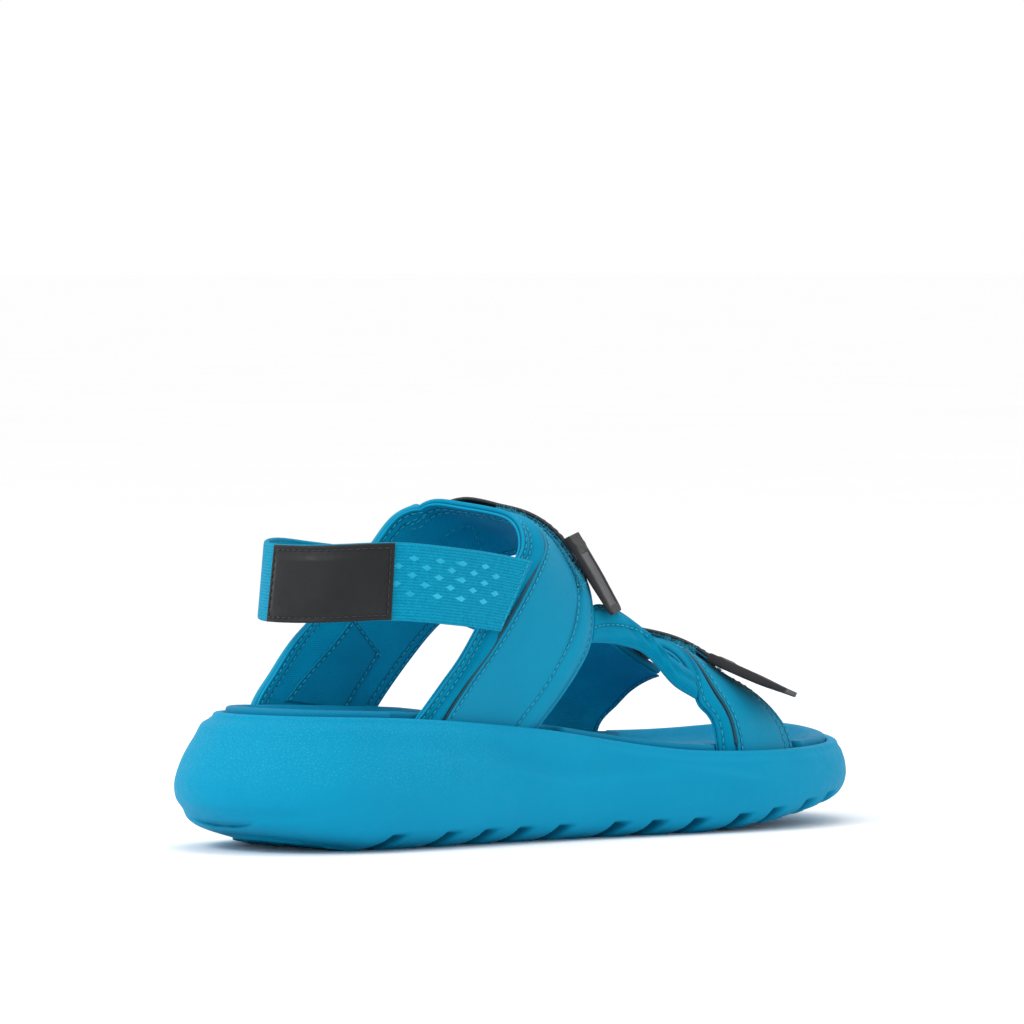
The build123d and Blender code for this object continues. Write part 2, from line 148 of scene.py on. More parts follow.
def bottom_height(x):
    return np.maximum(soft_interp(x, BOTTOM_X, BOTTOM_Z), 0)


FORM_INSET = RIM_WIDTH + SLACK + OVERLAY[1] + 0.4
BASE_LINE = outline(800) - outward(outline(800)) * FORM_INSET
LATERAL_EDGE = BASE_LINE[BASE_LINE[:, 1] < 0][np.argsort(BASE_LINE[BASE_LINE[:, 1] < 0][:, 0])]
MEDIAL_EDGE = BASE_LINE[BASE_LINE[:, 1] > 0][np.argsort(BASE_LINE[BASE_LINE[:, 1] > 0][:, 0])]


def form(x, q):
    """Point on the foot form: x along the foot, q 0 at the outer base, 0.5 ridge, 1 inner base."""
    x = np.asarray(x, float)
    q = np.asarray(q, float)
    n = soft_interp(x, FORM_N_X, FORM_N)
    ridge = soft_interp(x, FORM_RIDGE_X, FORM_RIDGE_Y)
    wl = -np.interp(x, LATERAL_EDGE[:, 0], LATERAL_EDGE[:, 1])
    wm = np.interp(x, MEDIAL_EDGE[:, 0], MEDIAL_EDGE[:, 1])
    c = np.cos(np.pi * q)
    s = np.sin(np.pi * q)
    r = (np.abs(c) ** n + np.abs(s) ** n) ** (-1 / n)
    y = np.where(c >= 0, ridge - (ridge + wl) * r * c, ridge - (wm - ridge) * r * c)
    base = rim_height(x, y) - CAVITY_DEPTH + SLACK
    top = soft_interp(x, FORM_X, FORM_TOP)
    mid = rim_height(x, ridge) - CAVITY_DEPTH + SLACK
    return np.stack([x, y, base + (top - mid) * r * s], -1)


def skin(x, q, off):
    """Point lifted off the foot form by off."""
    x = np.asarray(x, float)
    q = np.asarray(q, float)
    e = 0.002
    du = form(x + 0.5, q) - form(x - 0.5, q)
    dv = form(x, q + e) - form(x, q - e)
    n = np.cross(du, dv)
    n /= np.linalg.norm(n, axis=-1)[..., None]
    return form(x, q) + n * np.asarray(off)[..., None]


# ---------------------------------------------------------------- edges of the upper's pieces
COLLAR_EDGE = [(-84, 0), (-75, 0.031), (-64.3, 0.068), (-55.6, 0.099), (-46.5, 0.14),
               (-35, 0.195), (-24.5, 0.25), (-20.5, 0.35), (-22.5, 0.48), (-24.5, 0.60), (-29, 0.72)]
QUARTER_FRONT = [(-30, 0), (-22.5, 0.037), (-12.6, 0.082), (-4.8, 0.121), (2.4, 0.167),
                 (7.5, 0.23), (11, 0.31), (12.5, 0.40), (12.5, 0.50), (9.5, 0.61), (3, 0.72)]
MEDIAL_REAR = [(-104.5, 1), (-101, 0.966), (-91, 0.933), (-81.3, 0.901), (-70.5, 0.873),
               (-59, 0.84), (-45, 0.795), (-35, 0.745)]
MEDIAL_FRONT = [(-50, 1), (-43.8, 0.966), (-32.7, 0.921), (-21.3, 0.877), (-8.5, 0.829),
                (0, 0.79), (5, 0.765), (8, 0.745)]
BRIDGE_LOW = [(3.6, 0.172), (11, 0.192), (23.7, 0.217), (33.9, 0.234), (38.6, 0.222),
              (44, 0.185), (52.2, 0.171)]
BRIDGE_HIGH = [(9.6, 0.25), (16, 0.275), (24, 0.289), (31, 0.29), (37.5, 0.28), (44, 0.25),
               (53.6, 0.245)]
MEDIAL_BRIDGE_LOW = [(-5.6, 0.815), (8, 0.80), (20, 0.785), (30, 0.79), (38, 0.81), (45, 0.83)]
MEDIAL_BRIDGE_HIGH = [(5.5, 0.76), (14, 0.73), (24, 0.715), (33, 0.72), (41, 0.74), (48.5, 0.755)]
ANCHOR_REAR = [(58, 0), (58.2, 0.112), (56.7, 0.144), (53, 0.168), (54.5, 0.24), (57, 0.32),
               (59.5, 0.41), (61, 0.50)]
ANCHOR_FRONT = [(95, 0), (94.6, 0.10), (94.3, 0.145), (92.5, 0.20), (90, 0.265), (87.5, 0.34),
                (84.5, 0.42), (82, 0.50)]
MEDIAL_ANCHOR_REAR = [(45, 1), (45, 0.91), (46, 0.84), (49, 0.755), (52.5, 0.665), (55, 0.58)]
MEDIAL_ANCHOR_FRONT = [(80, 1), (79.5, 0.883), (84, 0.793), (85, 0.72), (85, 0.65), (84, 0.58)]
INSTEP_STRAP_REAR = [(-28, 0.80), (-21, 0.70), (-15, 0.60), (-10, 0.50), (-6.5, 0.42),
                     (-2.5, 0.35), (1.5, 0.295)]
INSTEP_STRAP_FRONT = [(-10, 0.80), (-1, 0.71), (7, 0.63), (13, 0.56), (17, 0.50), (19, 0.46),
                      (20, 0.43)]
INSTEP_LOOP_REAR = [(3, 0.25), (-2, 0.335), (-6, 0.42), (-8, 0.49)]
INSTEP_LOOP_FRONT = [(9, 0.31), (11, 0.38), (11.5, 0.46), (10, 0.54)]
TOE_STRAP_REAR = [(50, 0.80), (56, 0.68), (60, 0.56), (63, 0.46), (65, 0.37), (67, 0.29)]
TOE_STRAP_FRONT = [(74, 0.80), (79, 0.70), (82, 0.62), (84, 0.54), (86, 0.47), (87, 0.40)]
TOE_LOOP_REAR = [(66.5, 0.34), (66, 0.40), (66, 0.46)]
TOE_LOOP_FRONT = [(83.5, 0.37), (82.5, 0.43), (80.5, 0.49)]

# corner, length direction, face normal, size (length, width, thickness)
INSTEP_TAB = ((1.5, -25.0, 106.6), (11.0, -13.0, -28.7), (0.35, -0.70, 0.60), (32.0, 18.0, 3.6))
TOE_TAB = ((66.7, -30.1, 63.4), (15.0, -25.0, -13.0), (0.33, -0.27, 0.90), (31.0, 25.0, 3.6))


# ---------------------------------------------------------------- mesh helpers
def make_object(name, verts, faces, materials, uv=None, slots=None, **shades):
    """New mesh object from points in millimetres; uv and shades are per point, slots per face."""
    mesh = bpy.data.meshes.new(name)
    mesh.from_pydata((np.asarray(verts, float) * MM).tolist(), [], np.asarray(faces).tolist())
    for m in materials:
        mesh.materials.append(m)
    mesh.polygons.foreach_set("use_smooth", np.ones(len(mesh.polygons), bool))
    if slots is not None:
        mesh.polygons.foreach_set("material_index", np.asarray(slots, np.int32))
    if uv is not None:
        corner = np.zeros(len(mesh.loops), np.int32)
        mesh.loops.foreach_get("vertex_index", corner)
        layer = mesh.uv_layers.new(name="mm")
        layer.data.foreach_set("uv", np.asarray(uv, np.float32)[corner].ravel())
    for key, values in shades.items():
        mark = mesh.attributes.new(key, "FLOAT", "POINT")
        mark.data.foreach_set("value", np.asarray(values, np.float32).ravel())
    mesh.update()
    obj = bpy.data.objects.new(name, mesh)
    bpy.context.scene.collection.objects.link(obj)
    return obj


def quads(ids):
    """Faces of a grid of point numbers."""
    q = np.stack([ids[:-1, :-1], ids[1:, :-1], ids[1:, 1:], ids[:-1, 1:]], -1)
    return q.reshape(-1, 4)


def facing_out(verts, faces):
    """Faces turned so that the closed mesh's volume is positive."""
    a, b, c, d = (verts[faces[:, k]] for k in range(4))
    volume = (a * np.cross(b, c)).sum() + (a * np.cross(c, d)).sum()
    return faces if volume > 0 else faces[:, ::-1]


def two_sided(outer, inner, *marks):
    """Closed mesh of two grids that share their border, and its points' values of each mark, which
    is a pair of grids for the outer and the inner side."""
    m, n = outer.shape[:2]
    out_id = np.arange(m * n).reshape(m, n)
    inside = np.zeros((m, n), bool)
    inside[1:-1, 1:-1] = True
    in_id = out_id.copy()
    in_id[inside] = m * n + np.arange(inside.sum())
    verts = np.concatenate([outer.reshape(-1, 3), inner[inside]])
    faces = np.concatenate([quads(out_id), quads(in_id)[:, ::-1]])
    values = [np.concatenate([front.reshape(m * n, *front.shape[2:]), back[inside]])
              for front, back in marks]
    return verts, facing_out(verts, faces), *values


def graded(length, fine, coarse, rim):
    """Fractions 0..1 with close steps near both ends, where edges round over and seams run."""
    rim = min(rim, 0.45 * length)
    edge = np.concatenate([[0.0, 0.06, 0.2, 0.45], np.arange(0.8, rim, fine)])
    middle = np.linspace(rim, length - rim, max(int((length - 2 * rim) / coarse), 1) + 1)
    return np.concatenate([edge, middle, length - edge[::-1]]) / length


def along(line, t):
    """Points at fractions t of a sampled line."""
    k = np.linspace(0, 1, len(line))
    return np.stack([np.interp(t, k, line[:, i]) for i in range(line.shape[1])], -1)


def ridge(d, at, width):
    return np.exp(-((d - at) / width) ** 2)


def step(d, a, b):
    t = np.clip((d - a) / (b - a), 0, 1)
    return t * t * (3 - 2 * t)


SEAM_WIDTH = 0.55          # a sewn row presses the cloth in along a soft groove
SEAM_DEPTH = 0.3


class Panel:
    """Piece of the upper between two edge curves on the foot form.  t0 and t1 keep part of its
    length; the d_ arrays are distances to its four edges."""

    def __init__(self, rear, front, t0=0.0, t1=1.0, fine=0.55, coarse=1.3, rim=9):
        r = smooth(rear, 300)
        f = smooth(front, 300)
        rough_t = np.linspace(t0, t1, 40)
        mid = form(*((along(r, rough_t) + along(f, rough_t)) / 2).T)
        length = np.linalg.norm(np.diff(mid, axis=0), axis=1).sum()
        across = form(*along(r, rough_t).T) - form(*along(f, rough_t).T)
        width = np.linalg.norm(across, axis=1).mean()
        t = (t0 + (t1 - t0) * graded(length, fine, coarse, rim))[:, None]
        w = graded(width, fine, coarse, rim)[None, :, None]
        xq = along(r, t[:, 0])[:, None, :] * (1 - w) + along(f, t[:, 0])[:, None, :] * w
        self.x = xq[..., 0]
        self.q = xq[..., 1]
        p = form(self.x, self.q)
        across = np.linalg.norm(np.diff(p, axis=1), axis=2)
        up = np.linalg.norm(np.diff(p, axis=0), axis=2)
        m, n = self.x.shape
        self.d_rear = np.concatenate([np.zeros((m, 1)), np.cumsum(across, 1)], 1)
        self.d_start = np.concatenate([np.zeros((1, n)), np.cumsum(up, 0)], 0)
        self.d_front = self.d_rear[:, -1:] - self.d_rear
        self.d_end = self.d_start[-1:] - self.d_start
        self.z = p[..., 2]
        self.to_edge = {"rear": self.d_rear, "front": self.d_front,
                        "start": self.d_start, "end": self.d_end}

    def layer(self, name, lo, hi, materials, over=0.0, under=0.0, lift=0.0, seams=(), back=()):
        """Closed layer from offset lo to hi; over and under are extra heights of its two faces.
        seams and back list the (edge, distance) of the sewn rows on the outer and inner face; these
        rows are pressed in and get painted shade."""
        sewn = self.rows_at(seams)
        sewn_back = self.rows_at(back)
        over = over - SEAM_DEPTH * sewn
        under = under + SEAM_DEPTH * sewn_back
        half = (hi - lo) / 2
        d = np.minimum(np.minimum(self.d_rear, self.d_front), np.minimum(self.d_start, self.d_end))
        g = np.sqrt(np.maximum(1 - (1 - np.clip(d / max(half, 0.6), 0, 1)) ** 2, 0))
        mid = (lo + hi) / 2 + lift
        fade = np.clip(d / 1.0, 0, 1)
        outer = skin(self.x, self.q, mid + half * g + over * fade)
        inner = skin(self.x, self.q, mid - half * g + under * fade)
        uv = np.stack([self.d_start, self.d_rear], -1)
        # the sewn rows are also stored as marks for the painted shade in their grooves
        verts, faces, uv, sewn, worn = two_sided(
            outer, inner, (uv, uv), (sewn, sewn_back), (1 - g, 1 - g))
        return make_object(name, verts, faces, materials, uv, sewn=sewn, worn=worn)

    def rows_at(self, rows):
        """1 along sewn rows, each an edge's name and the distance inside it."""
        total = np.zeros(self.x.shape)
        for edge, at in rows:
            total = np.maximum(total, ridge(self.to_edge[edge], at, SEAM_WIDTH))
        return total

    def row(self, edge, d, off, lo=0.0, hi=1.0):
        """Points and outward normals along one edge, d inside it, at offset off."""
        turned = edge in ("start", "end")
        x, q, g = (a.T if turned else a for a in (self.x, self.q, self.to_edge[edge]))
        flip = slice(None, None, -1) if edge in ("front", "end") else slice(None)
        a = np.array([[np.interp(d, gi[flip], xi[flip]), np.interp(d, gi[flip], qi[flip])]
                      for gi, xi, qi in zip(g, x, q)])
        n = len(a)
        a = a[int(n * lo):max(int(n * hi), int(n * lo) + 2)]
        return line_on_form(a, off)


def line_on_form(xq, off):
    p = skin(xq[:, 0], xq[:, 1], np.full(len(xq), float(off)))
    n = skin(xq[:, 0], xq[:, 1], np.full(len(xq), off + 1.0)) - p
    return p, n


def inward(row):
    return row[0], -row[1]


def resampled(points, normals, pitch):
    """The line again, with points pitch apart."""
    d = np.concatenate([[0], np.cumsum(np.linalg.norm(np.diff(points, axis=0), axis=1))])
    k = np.arange(pitch / 2, d[-1], pitch)
    p = np.stack([np.interp(k, d, points[:, i]) for i in range(3)], -1)
    n = np.stack([np.interp(k, d, normals[:, i]) for i in range(3)], -1)
    return p, n / np.linalg.norm(n, axis=1)[:, None]


def sleeve_faces(base, rings, sides):
    """Faces of an open tube of rings of points, numbered from base."""
    faces = []
    for k in range(rings - 1):
        low = base + sides * k
        for j in range(sides):
            i = (j + 1) % sides
            faces.append((low + j, low + i, low + sides + i, low + sides + j))
    return faces


def stitches(name, rows, thread, pitch=2.9, length=2.1, radius=0.24):
    """Thread stitches along rows of (points, normals): capsules whose ends dip into the cloth."""
    u = np.array([-1, -0.8, -0.3, 0.3, 0.8, 1.0])
    girth = np.array([0.35, 0.8, 1, 1, 0.8, 0.35]) * radius
    sink = -radius * np.array([1.3, 0.4, 0, 0, 0.4, 1.3]) + radius * 0.35
    ring = np.radians(np.arange(0, 360, 60))
    verts, faces = [], []
    for points, normals in rows:
        p, n = resampled(points, normals, pitch)
        if len(p) < 2:
            continue
        d = np.gradient(p, axis=0)
        d /= np.linalg.norm(d, axis=1)[:, None]
        b = np.cross(d, n)
        for c, t, up, side in zip(p, d, n, b):
            base = len(verts)
            for k in range(6):
                o = c + t * u[k] * length / 2 + up * sink[k]
                verts.extend(o + girth[k] * (side * math.cos(a) + up * math.sin(a)) for a in ring)
            faces += sleeve_faces(base, 6, 6)
    return make_object(name, verts, faces, [thread])


def tube(name, points, normals, radius, material, sides=10, pitch=0.9):
    """Piping: a round cord sewn along a line, narrowed at both ends."""
    p, n = resampled(points, normals, pitch)
    d = np.gradient(p, axis=0)
    d /= np.linalg.norm(d, axis=1)[:, None]
    b = np.cross(d, n)
    ends = np.ones(len(p))
    ends[[0, -1]] = 0.25
    ring = np.radians(np.arange(0, 360, 360 / sides))
    grid = np.stack([p + ends[:, None] * radius * (b * math.cos(a) + n * math.sin(a))
                     for a in ring], 1)
    m = len(p)
    ids = np.arange(m * sides).reshape(m, sides)
    faces = quads(np.concatenate([ids, ids[:, :1]], 1))
    dist = np.arange(m) * pitch
    uv = np.stack([np.repeat(dist, sides), np.tile(ring * radius, m)], -1)
    return make_object(name, grid.reshape(-1, 3), faces, [material], uv)


def fuzz(name, points, normals, outs, count, length, material, seed, radius):
    """Loop-pile fibres: thin curved hairs rooted along a line and leaning out of the cloth."""
    rng = np.random.default_rng(seed)
    verts, faces = [], []
    k = rng.uniform(0, len(points) - 1.001, count)
    i = k.astype(int)
    f = (k - i)[:, None]
    roots = points[i] * (1 - f) + points[i + 1] * f
    for root, up, out in zip(roots, normals[i], outs[i]):
        lean = out + up * rng.uniform(-0.25, 0.8) + rng.normal(0, 0.7, 3)
        lean /= np.linalg.norm(lean)
        curl = rng.normal(0, 0.5, 3)
        reach = length * rng.uniform(0.35, 1.0)
        line = [root + lean * reach * a + curl * reach * a * a * 0.6
                for a in (-0.15, 0.3, 0.65, 1.0)]
        side = np.cross(lean, rng.normal(0, 1, 3))
        side /= np.linalg.norm(side)
        other = np.cross(lean, side)
        base = len(verts)
        for c, r in zip(line, (1.0, 1.0, 0.8, 0.35)):
            for a in (0, 2.094, 4.189):    # thirds of a turn
                verts.append(c + radius * r * (side * math.cos(a) + other * math.sin(a)))
        faces += sleeve_faces(base, 4, 3)
    return make_object(name, verts, faces, [material])


def joined(name, objects):
    """One object made of several."""
    bpy.ops.object.select_all(action="DESELECT")
    for o in objects:
        o.select_set(True)
    bpy.context.view_layer.objects.active = objects[0]
    bpy.ops.object.join()
    objects[0].name = name
    return objects[0]


# ---------------------------------------------------------------- material helpers
def linear(r, g, b):
    """Scene colour of an 8-bit display colour."""
    c = np.array([r, g, b]) / 255.0
    return tuple(np.where(c <= 0.04045, c / 12.92, ((c + 0.055) / 1.055) ** 2.4)) + (1.0,)


class Finish:
    """A node material under construction."""

    def __init__(self, name, roughness, specular, sheen=0.0):
        self.material = bpy.data.materials.new(name)
        self.material.use_nodes = True
        self.tree = self.material.node_tree
        self.shader = self.tree.nodes["Principled BSDF"]
        self.shader.inputs["Roughness"].default_value = roughness
        self.shader.inputs["Specular IOR Level"].default_value = specular
        self.shader.inputs["Sheen Weight"].default_value = sheen
        self.shader.inputs["Sheen Roughness"].default_value = 0.4
        self.place = self.tree.nodes.new("ShaderNodeTexCoord")
        split = self.node("ShaderNodeSeparateXYZ", Vector=self.place.outputs["UV"])
        self.u = split.outputs["X"]
        self.v = split.outputs["Y"]
        where = self.node("ShaderNodeSeparateXYZ", Vector=self.place.outputs["Object"])
        self.xyz = [where.outputs[k] for k in "XYZ"]

    def node(self, kind, **inputs):
        n = self.tree.nodes.new(kind)
        for key, value in inputs.items():
            self.feed(n.inputs[key.replace("_", " ")], value)
        return n

    def feed(self, socket, value):
        if isinstance(value, bpy.types.NodeSocket):
            self.tree.links.new(value, socket)
        else:
            socket.default_value = value

    def math(self, operation, a, b=0.0, c=0.0):
        n = self.tree.nodes.new("ShaderNodeMath")
        n.operation = operation
        for socket, value in zip(n.inputs, (a, b, c)):
            self.feed(socket, value)
        return n.outputs[0]

    def noise(self, scale, detail):
        n = self.node("ShaderNodeTexNoise", Vector=self.place.outputs["Object"], Scale=scale,
                      Detail=detail, Roughness=0.55)
        return n.outputs[0]

    def cells(self, scale, feature="F1"):
        n = self.tree.nodes.new("ShaderNodeTexVoronoi")
        n.feature = feature
        self.feed(n.inputs["Vector"], self.place.outputs["Object"])
        n.inputs["Scale"].default_value = scale
        return n.outputs["Distance"]

    def wave(self, value, pitch):
        """0..1 wave of a length in millimetres."""
        s = self.math("SINE", self.math("MULTIPLY_ADD", value, 2 * math.pi / pitch, 0.0))
        return self.math("MULTIPLY_ADD", s, 0.5, 0.5)

    def between(self, value, low, high, to_low=0.0, to_high=1.0):
        n = self.node("ShaderNodeMapRange", Value=value)
        for key, number in zip(("From Min", "From Max", "To Min", "To Max"),
                               (low, high, to_low, to_high)):
            n.inputs[key].default_value = number
        return n.outputs[0]

    def blend(self, factor, a, b):
        n = self.tree.nodes.new("ShaderNodeMix")
        n.data_type = "RGBA"
        self.feed(n.inputs[0], factor)
        self.feed(n.inputs[6], a)
        self.feed(n.inputs[7], b)
        return n.outputs[2]

    def mark(self, name):
        """Per-point value that make_object stored under name, 0 where it has none."""
        n = self.tree.nodes.new("ShaderNodeAttribute")
        n.attribute_name = name
        return n.outputs["Fac"]

    def colour(self, value, seam=(0, 70, 105), edge=(40, 175, 210)):
        """Base colour, with painted shade in the sewn grooves and recesses, and paler on the cut edges.
        """
        # a lighter colour is blended in over the rounded edges of each layer
        value = self.blend(self.math("MULTIPLY", self.mark("worn"), 0.22), value, linear(*edge))
        # painted shade: marked grooves and recesses are darkened towards the seam colour
        value = self.blend(self.math("MULTIPLY", self.mark("sewn"), 0.55), value, linear(*seam))
        self.feed(self.shader.inputs["Base Color"], value)

    def rough(self, value):
        self.feed(self.shader.inputs["Roughness"], value)

    def bump(self, *layers):
        """Stack of (height, strength, depth in metres)."""
        last = None
        for height, strength, depth in layers:
            n = self.node("ShaderNodeBump", Height=height)
            n.inputs["Strength"].default_value = strength
            n.inputs["Distance"].default_value = depth
            if last is not None:
                self.feed(n.inputs["Normal"], last)
            last = n.outputs["Normal"]
        self.feed(self.shader.inputs["Normal"], last)


def foam_finish(name, base, deep, grain):
    """Moulded foam: skin with a leather-like grain and a painted highlight on its crests, both
    strongest on the outer heel side.
    """
    f = Finish(name, roughness=0.6, specular=0.1)
    patches = f.noise(22.0, 2)
    crackle = f.cells(950.0, "DISTANCE_TO_EDGE")
    heel = f.math("MULTIPLY", f.between(f.xyz[0], -0.012, -0.075), f.between(f.xyz[2], 0.014, 0.03))
    area = f.math("MULTIPLY_ADD", heel, grain, 0.12)
    area = f.math("MULTIPLY", area, f.between(f.noise(60.0, 2), 0.3, 0.6, 0.5, 1.0))
    height = f.math("MULTIPLY", f.between(crackle, 0.0, 0.35), area)
    f.rough(f.between(f.noise(300.0, 2), 0.3, 0.7, 0.55, 0.7))
    tone = f.blend(f.between(patches, 0.2, 0.8), linear(*base), linear(*deep))
    shine = f.math("MULTIPLY", f.between(height, 0.2, 0.8), 0.2)
    # seam is the colour of the painted shade in the sole's recesses
    f.colour(f.blend(shine, tone, linear(40, 190, 224)), seam=(0, 52, 84))
    f.bump((height, 0.5, 0.0003), (f.noise(2400.0, 2), 0.12, 0.00012),
           (f.noise(70.0, 2), 0.1, 0.0006))
    return f.material


def textile_finish(name, base, deep, pitch, strength=0.5):
    """Fine woven or knitted face cloth."""
    f = Finish(name, roughness=0.8, specular=0.05, sheen=0.05)
    warp = f.wave(f.u, pitch)
    weft = f.wave(f.v, pitch)
    height = f.math("MULTIPLY", warp, weft)
    tone = f.math("MULTIPLY_ADD", height, 0.35, f.math("MULTIPLY", f.noise(45.0, 3), 0.65))
    f.colour(f.blend(f.between(tone, 0.2, 0.62), linear(*deep), linear(*base)))
    f.bump((height, strength, 0.00012), (f.noise(120.0, 3), 0.2, 0.0005))
    return f.material


def overlay_finish(name, base, deep, sheen=0.03):
    """Smooth satin-faced synthetic with a faint grain."""
    f = Finish(name, roughness=0.5, specular=0.12, sheen=sheen)
    f.colour(f.blend(f.between(f.noise(30.0, 4), 0.3, 0.7), linear(*deep), linear(*base)))
    f.rough(f.between(f.noise(500.0, 2), 0.3, 0.7, 0.52, 0.66))
    f.bump((f.cells(1500.0, "DISTANCE_TO_EDGE"), 0.18, 0.0001), (f.noise(90.0, 3), 0.22, 0.0007))
    return f.material


def elastic_finish(name, base, deep):
    """Elastic webbing: a knit of slanted stitches on faint ribs along its length."""
    f = Finish(name, roughness=0.8, specular=0.06, sheen=0.05)
    rib = f.wave(f.v, 1.05)
    wander = f.math("MULTIPLY_ADD", f.noise(500.0, 2), 1.4, f.u)
    cross = f.wave(f.math("MULTIPLY_ADD", f.v, 0.48, wander), 0.9)
    height = f.math("MULTIPLY_ADD", cross, 0.75, f.math("MULTIPLY", rib, 0.4))
    tone = f.math("MULTIPLY_ADD", height, 0.55, f.math("MULTIPLY", f.noise(700.0, 2), 0.45))
    f.colour(f.blend(f.between(tone, 0.25, 0.85), linear(*deep), linear(*base)))
    f.bump((height, 0.6, 0.0002), (f.noise(150.0, 2), 0.15, 0.0004))
    return f.material


def leather_finish(name, base, worn, scale=900.0):
    """Dark synthetic leather or webbing with a pebbled grain."""
    f = Finish(name, roughness=0.5, specular=0.25)
    # seam is the colour of painted shade in the sewn grooves
    f.colour(f.blend(f.between(f.noise(55.0, 4), 0.35, 0.7), linear(*base), linear(*worn)),
             seam=(12, 12, 13), edge=(80, 82, 84))
    f.rough(f.between(f.noise(400.0, 2), 0.3, 0.7, 0.42, 0.58))
    f.bump((f.cells(scale, "DISTANCE_TO_EDGE"), 0.35, 0.00018), (f.noise(1800.0, 2), 0.1, 0.0001))
    return f.material


def rubber_finish(name, base, worn, lines=0.0):
    """Moulded rubber; lines adds the fine lengthwise ribs of the grip."""
    f = Finish(name, roughness=0.55, specular=0.25)
    # seam is the colour of painted shade in sewn grooves; the tabs carry no such mark
    f.colour(f.blend(f.between(f.noise(80.0, 4), 0.35, 0.7), linear(*base), linear(*worn)),
             seam=(12, 12, 13), edge=(90, 90, 92))
    f.rough(f.between(f.noise(700.0, 2), 0.3, 0.7, 0.45, 0.62))
    layers = [(f.noise(1600.0, 2), 0.15, 0.00012)]
    if lines:
        layers.append((f.wave(f.v, lines), 0.5, 0.00025))
    f.bump(*layers)
    return f.material


def thread_finish(name, base):
    """Twisted thread."""
    f = Finish(name, roughness=0.6, specular=0.2, sheen=0.05)
    twist = f.noise(2600.0, 1)
    dark = tuple(int(c * 0.75) for c in base)
    f.colour(f.blend(f.between(twist, 0.3, 0.7), linear(*dark), linear(*base)))
    f.bump((twist, 0.4, 0.0001))
    return f.material


def pile_finish(name, base, deep):
    """Hook or loop tape."""
    f = Finish(name, roughness=0.9, specular=0.05, sheen=0.15)
    knots = f.cells(1100.0)
    f.colour(f.blend(f.between(knots, 0.1, 0.7), linear(*base), linear(*deep)))
    f.bump((knots, 0.8, 0.0004), (f.noise(900.0, 3), 0.5, 0.0003))
    return f.material
# ---------------------------------------------------------------- materials
BLUE = (0, 146, 186)
BLUE_DEEP = (0, 138, 178)
LEATHER = (0, 138, 175)
LEATHER_DEEP = (0, 132, 169)
INSIDE = (0, 158, 198)
INSIDE_DEEP = (0, 128, 166)

SOLE = foam_finish("sole_foam", BLUE, BLUE_DEEP, 1.0)
BED = foam_finish("footbed_foam", (0, 132, 170), (0, 118, 156), 0.3)
UPPER = overlay_finish("upper_leather", LEATHER, LEATHER_DEEP)
COLLAR = textile_finish("collar_textile", (0, 142, 180), (0, 120, 156), pitch=0.7)
INNER = textile_finish("lining_textile", INSIDE, INSIDE_DEEP, pitch=0.9, strength=0.7)
ELASTIC = elastic_finish("elastic_webbing", (14, 162, 198), (0, 112, 148))
LOOP = pile_finish("loop_pile", (14, 150, 190), (3, 96, 134))
HOOKS = pile_finish("hook_tape", (6, 84, 124), (2, 48, 80))
FIBRE = thread_finish("loop_fibre", (70, 200, 228))
DARK = leather_finish("dark_strap", (34, 36, 39), (46, 48, 51), scale=1100.0)
PIPE = leather_finish("dark_piping", (20, 62, 78), (30, 82, 98), scale=1800.0)
RUBBER = rubber_finish("tab_rubber", (34, 34, 36), (44, 44, 46))
GRIP = rubber_finish("tab_grip", (88, 88, 91), (108, 108, 111), lines=1.1)
PATCH = leather_finish("patch_leather", (24, 25, 27), (31, 32, 34))
THREAD = thread_finish("blue_thread", (40, 182, 214))
DARK_THREAD = thread_finish("dark_thread", (62, 64, 68))
GLOSS = overlay_finish("satin_diamond", (50, 184, 214), (10, 150, 188), sheen=0.2)
GLOSS.node_tree.nodes["Principled BSDF"].inputs["Roughness"].default_value = 0.3


# ---------------------------------------------------------------- sole
CREASE = [(-135, 39.5), (-100, 37.0), (-70, 34.0), (-50, 31.5), (-36, 27.5), (-20, 24.2),
          (13, 23.6), (40, 24)]
CREST = [(20, 24.0), (37, 22.9), (52, 20.6), (68, 17.9), (84, 16)]
COLUMNS = 1300             # points round the sole
WALL_RINGS = 36            # between the rim and the tread
TREAD_RINGS = 18
TREAD_TOP = 7.0            # the fine rings start this far above the ground face
NOTCH_DEPTH = 8.0
HEEL_NOTCH_DEPTH = 2.8
HEEL_NOTCH_X = (-149, -141, -139.6, -138.6)    # fades in over the first two, out over the last


def rim_frame(n):
    """Points of the rim's outline and their outward directions."""
    p = outline(n)
    return p, outward(p)


def wall_offset(x, z, y):
    """How far the side wall stands out past the rim's outline."""
    zb = bottom_height(x)
    h = (z - zb) / (rim_height(x, y) - zb)
    return soft_interp(x, BULGE_X, BULGE) * soft_interp(h, WALL_H, WALL_F) - BOTTOM_EDGE * np.exp(
        -np.maximum(z - zb, 0) / 2.2)


def folds(x, z, y):
    """Soft creases of the moulded wall: a valley under the rim and a crest towards the toe."""
    cx, cz = np.array(CREASE, float).T
    depth = np.interp(x, [-135, -90, -45, -15, 13, 35], [0.0, 0.5, 1.5, 1.5, 0.8, 0.0])
    d = z - soft_interp(x, cx, cz)
    valley = depth * np.where(d > 0, np.exp(-(d / 4.5) ** 2), np.exp(-(d / 2.2) ** 2))
    cx, cz = np.array(CREST, float).T
    rise = np.interp(x, [20, 37, 60, 84], [0.0, 1.0, 1.0, 0.0])
    d = z - soft_interp(x, cx, cz)
    crest = rise * np.where(d > 0, np.exp(-(d / 2.0) ** 2), np.exp(-(d / 5.0) ** 2))
    heel = 0.9 * ridge(z, 13.0 + 0.05 * (x + 150), 2.4) * step(-x, 112, 138)
    lump = 0.35 * np.sin(x / 17.0) * np.sin(z / 8.0 + x / 30.0)
    return crest - valley - heel + lump * step(z, 8, 16) * step(rim_height(x, y) - z, 3, 9)


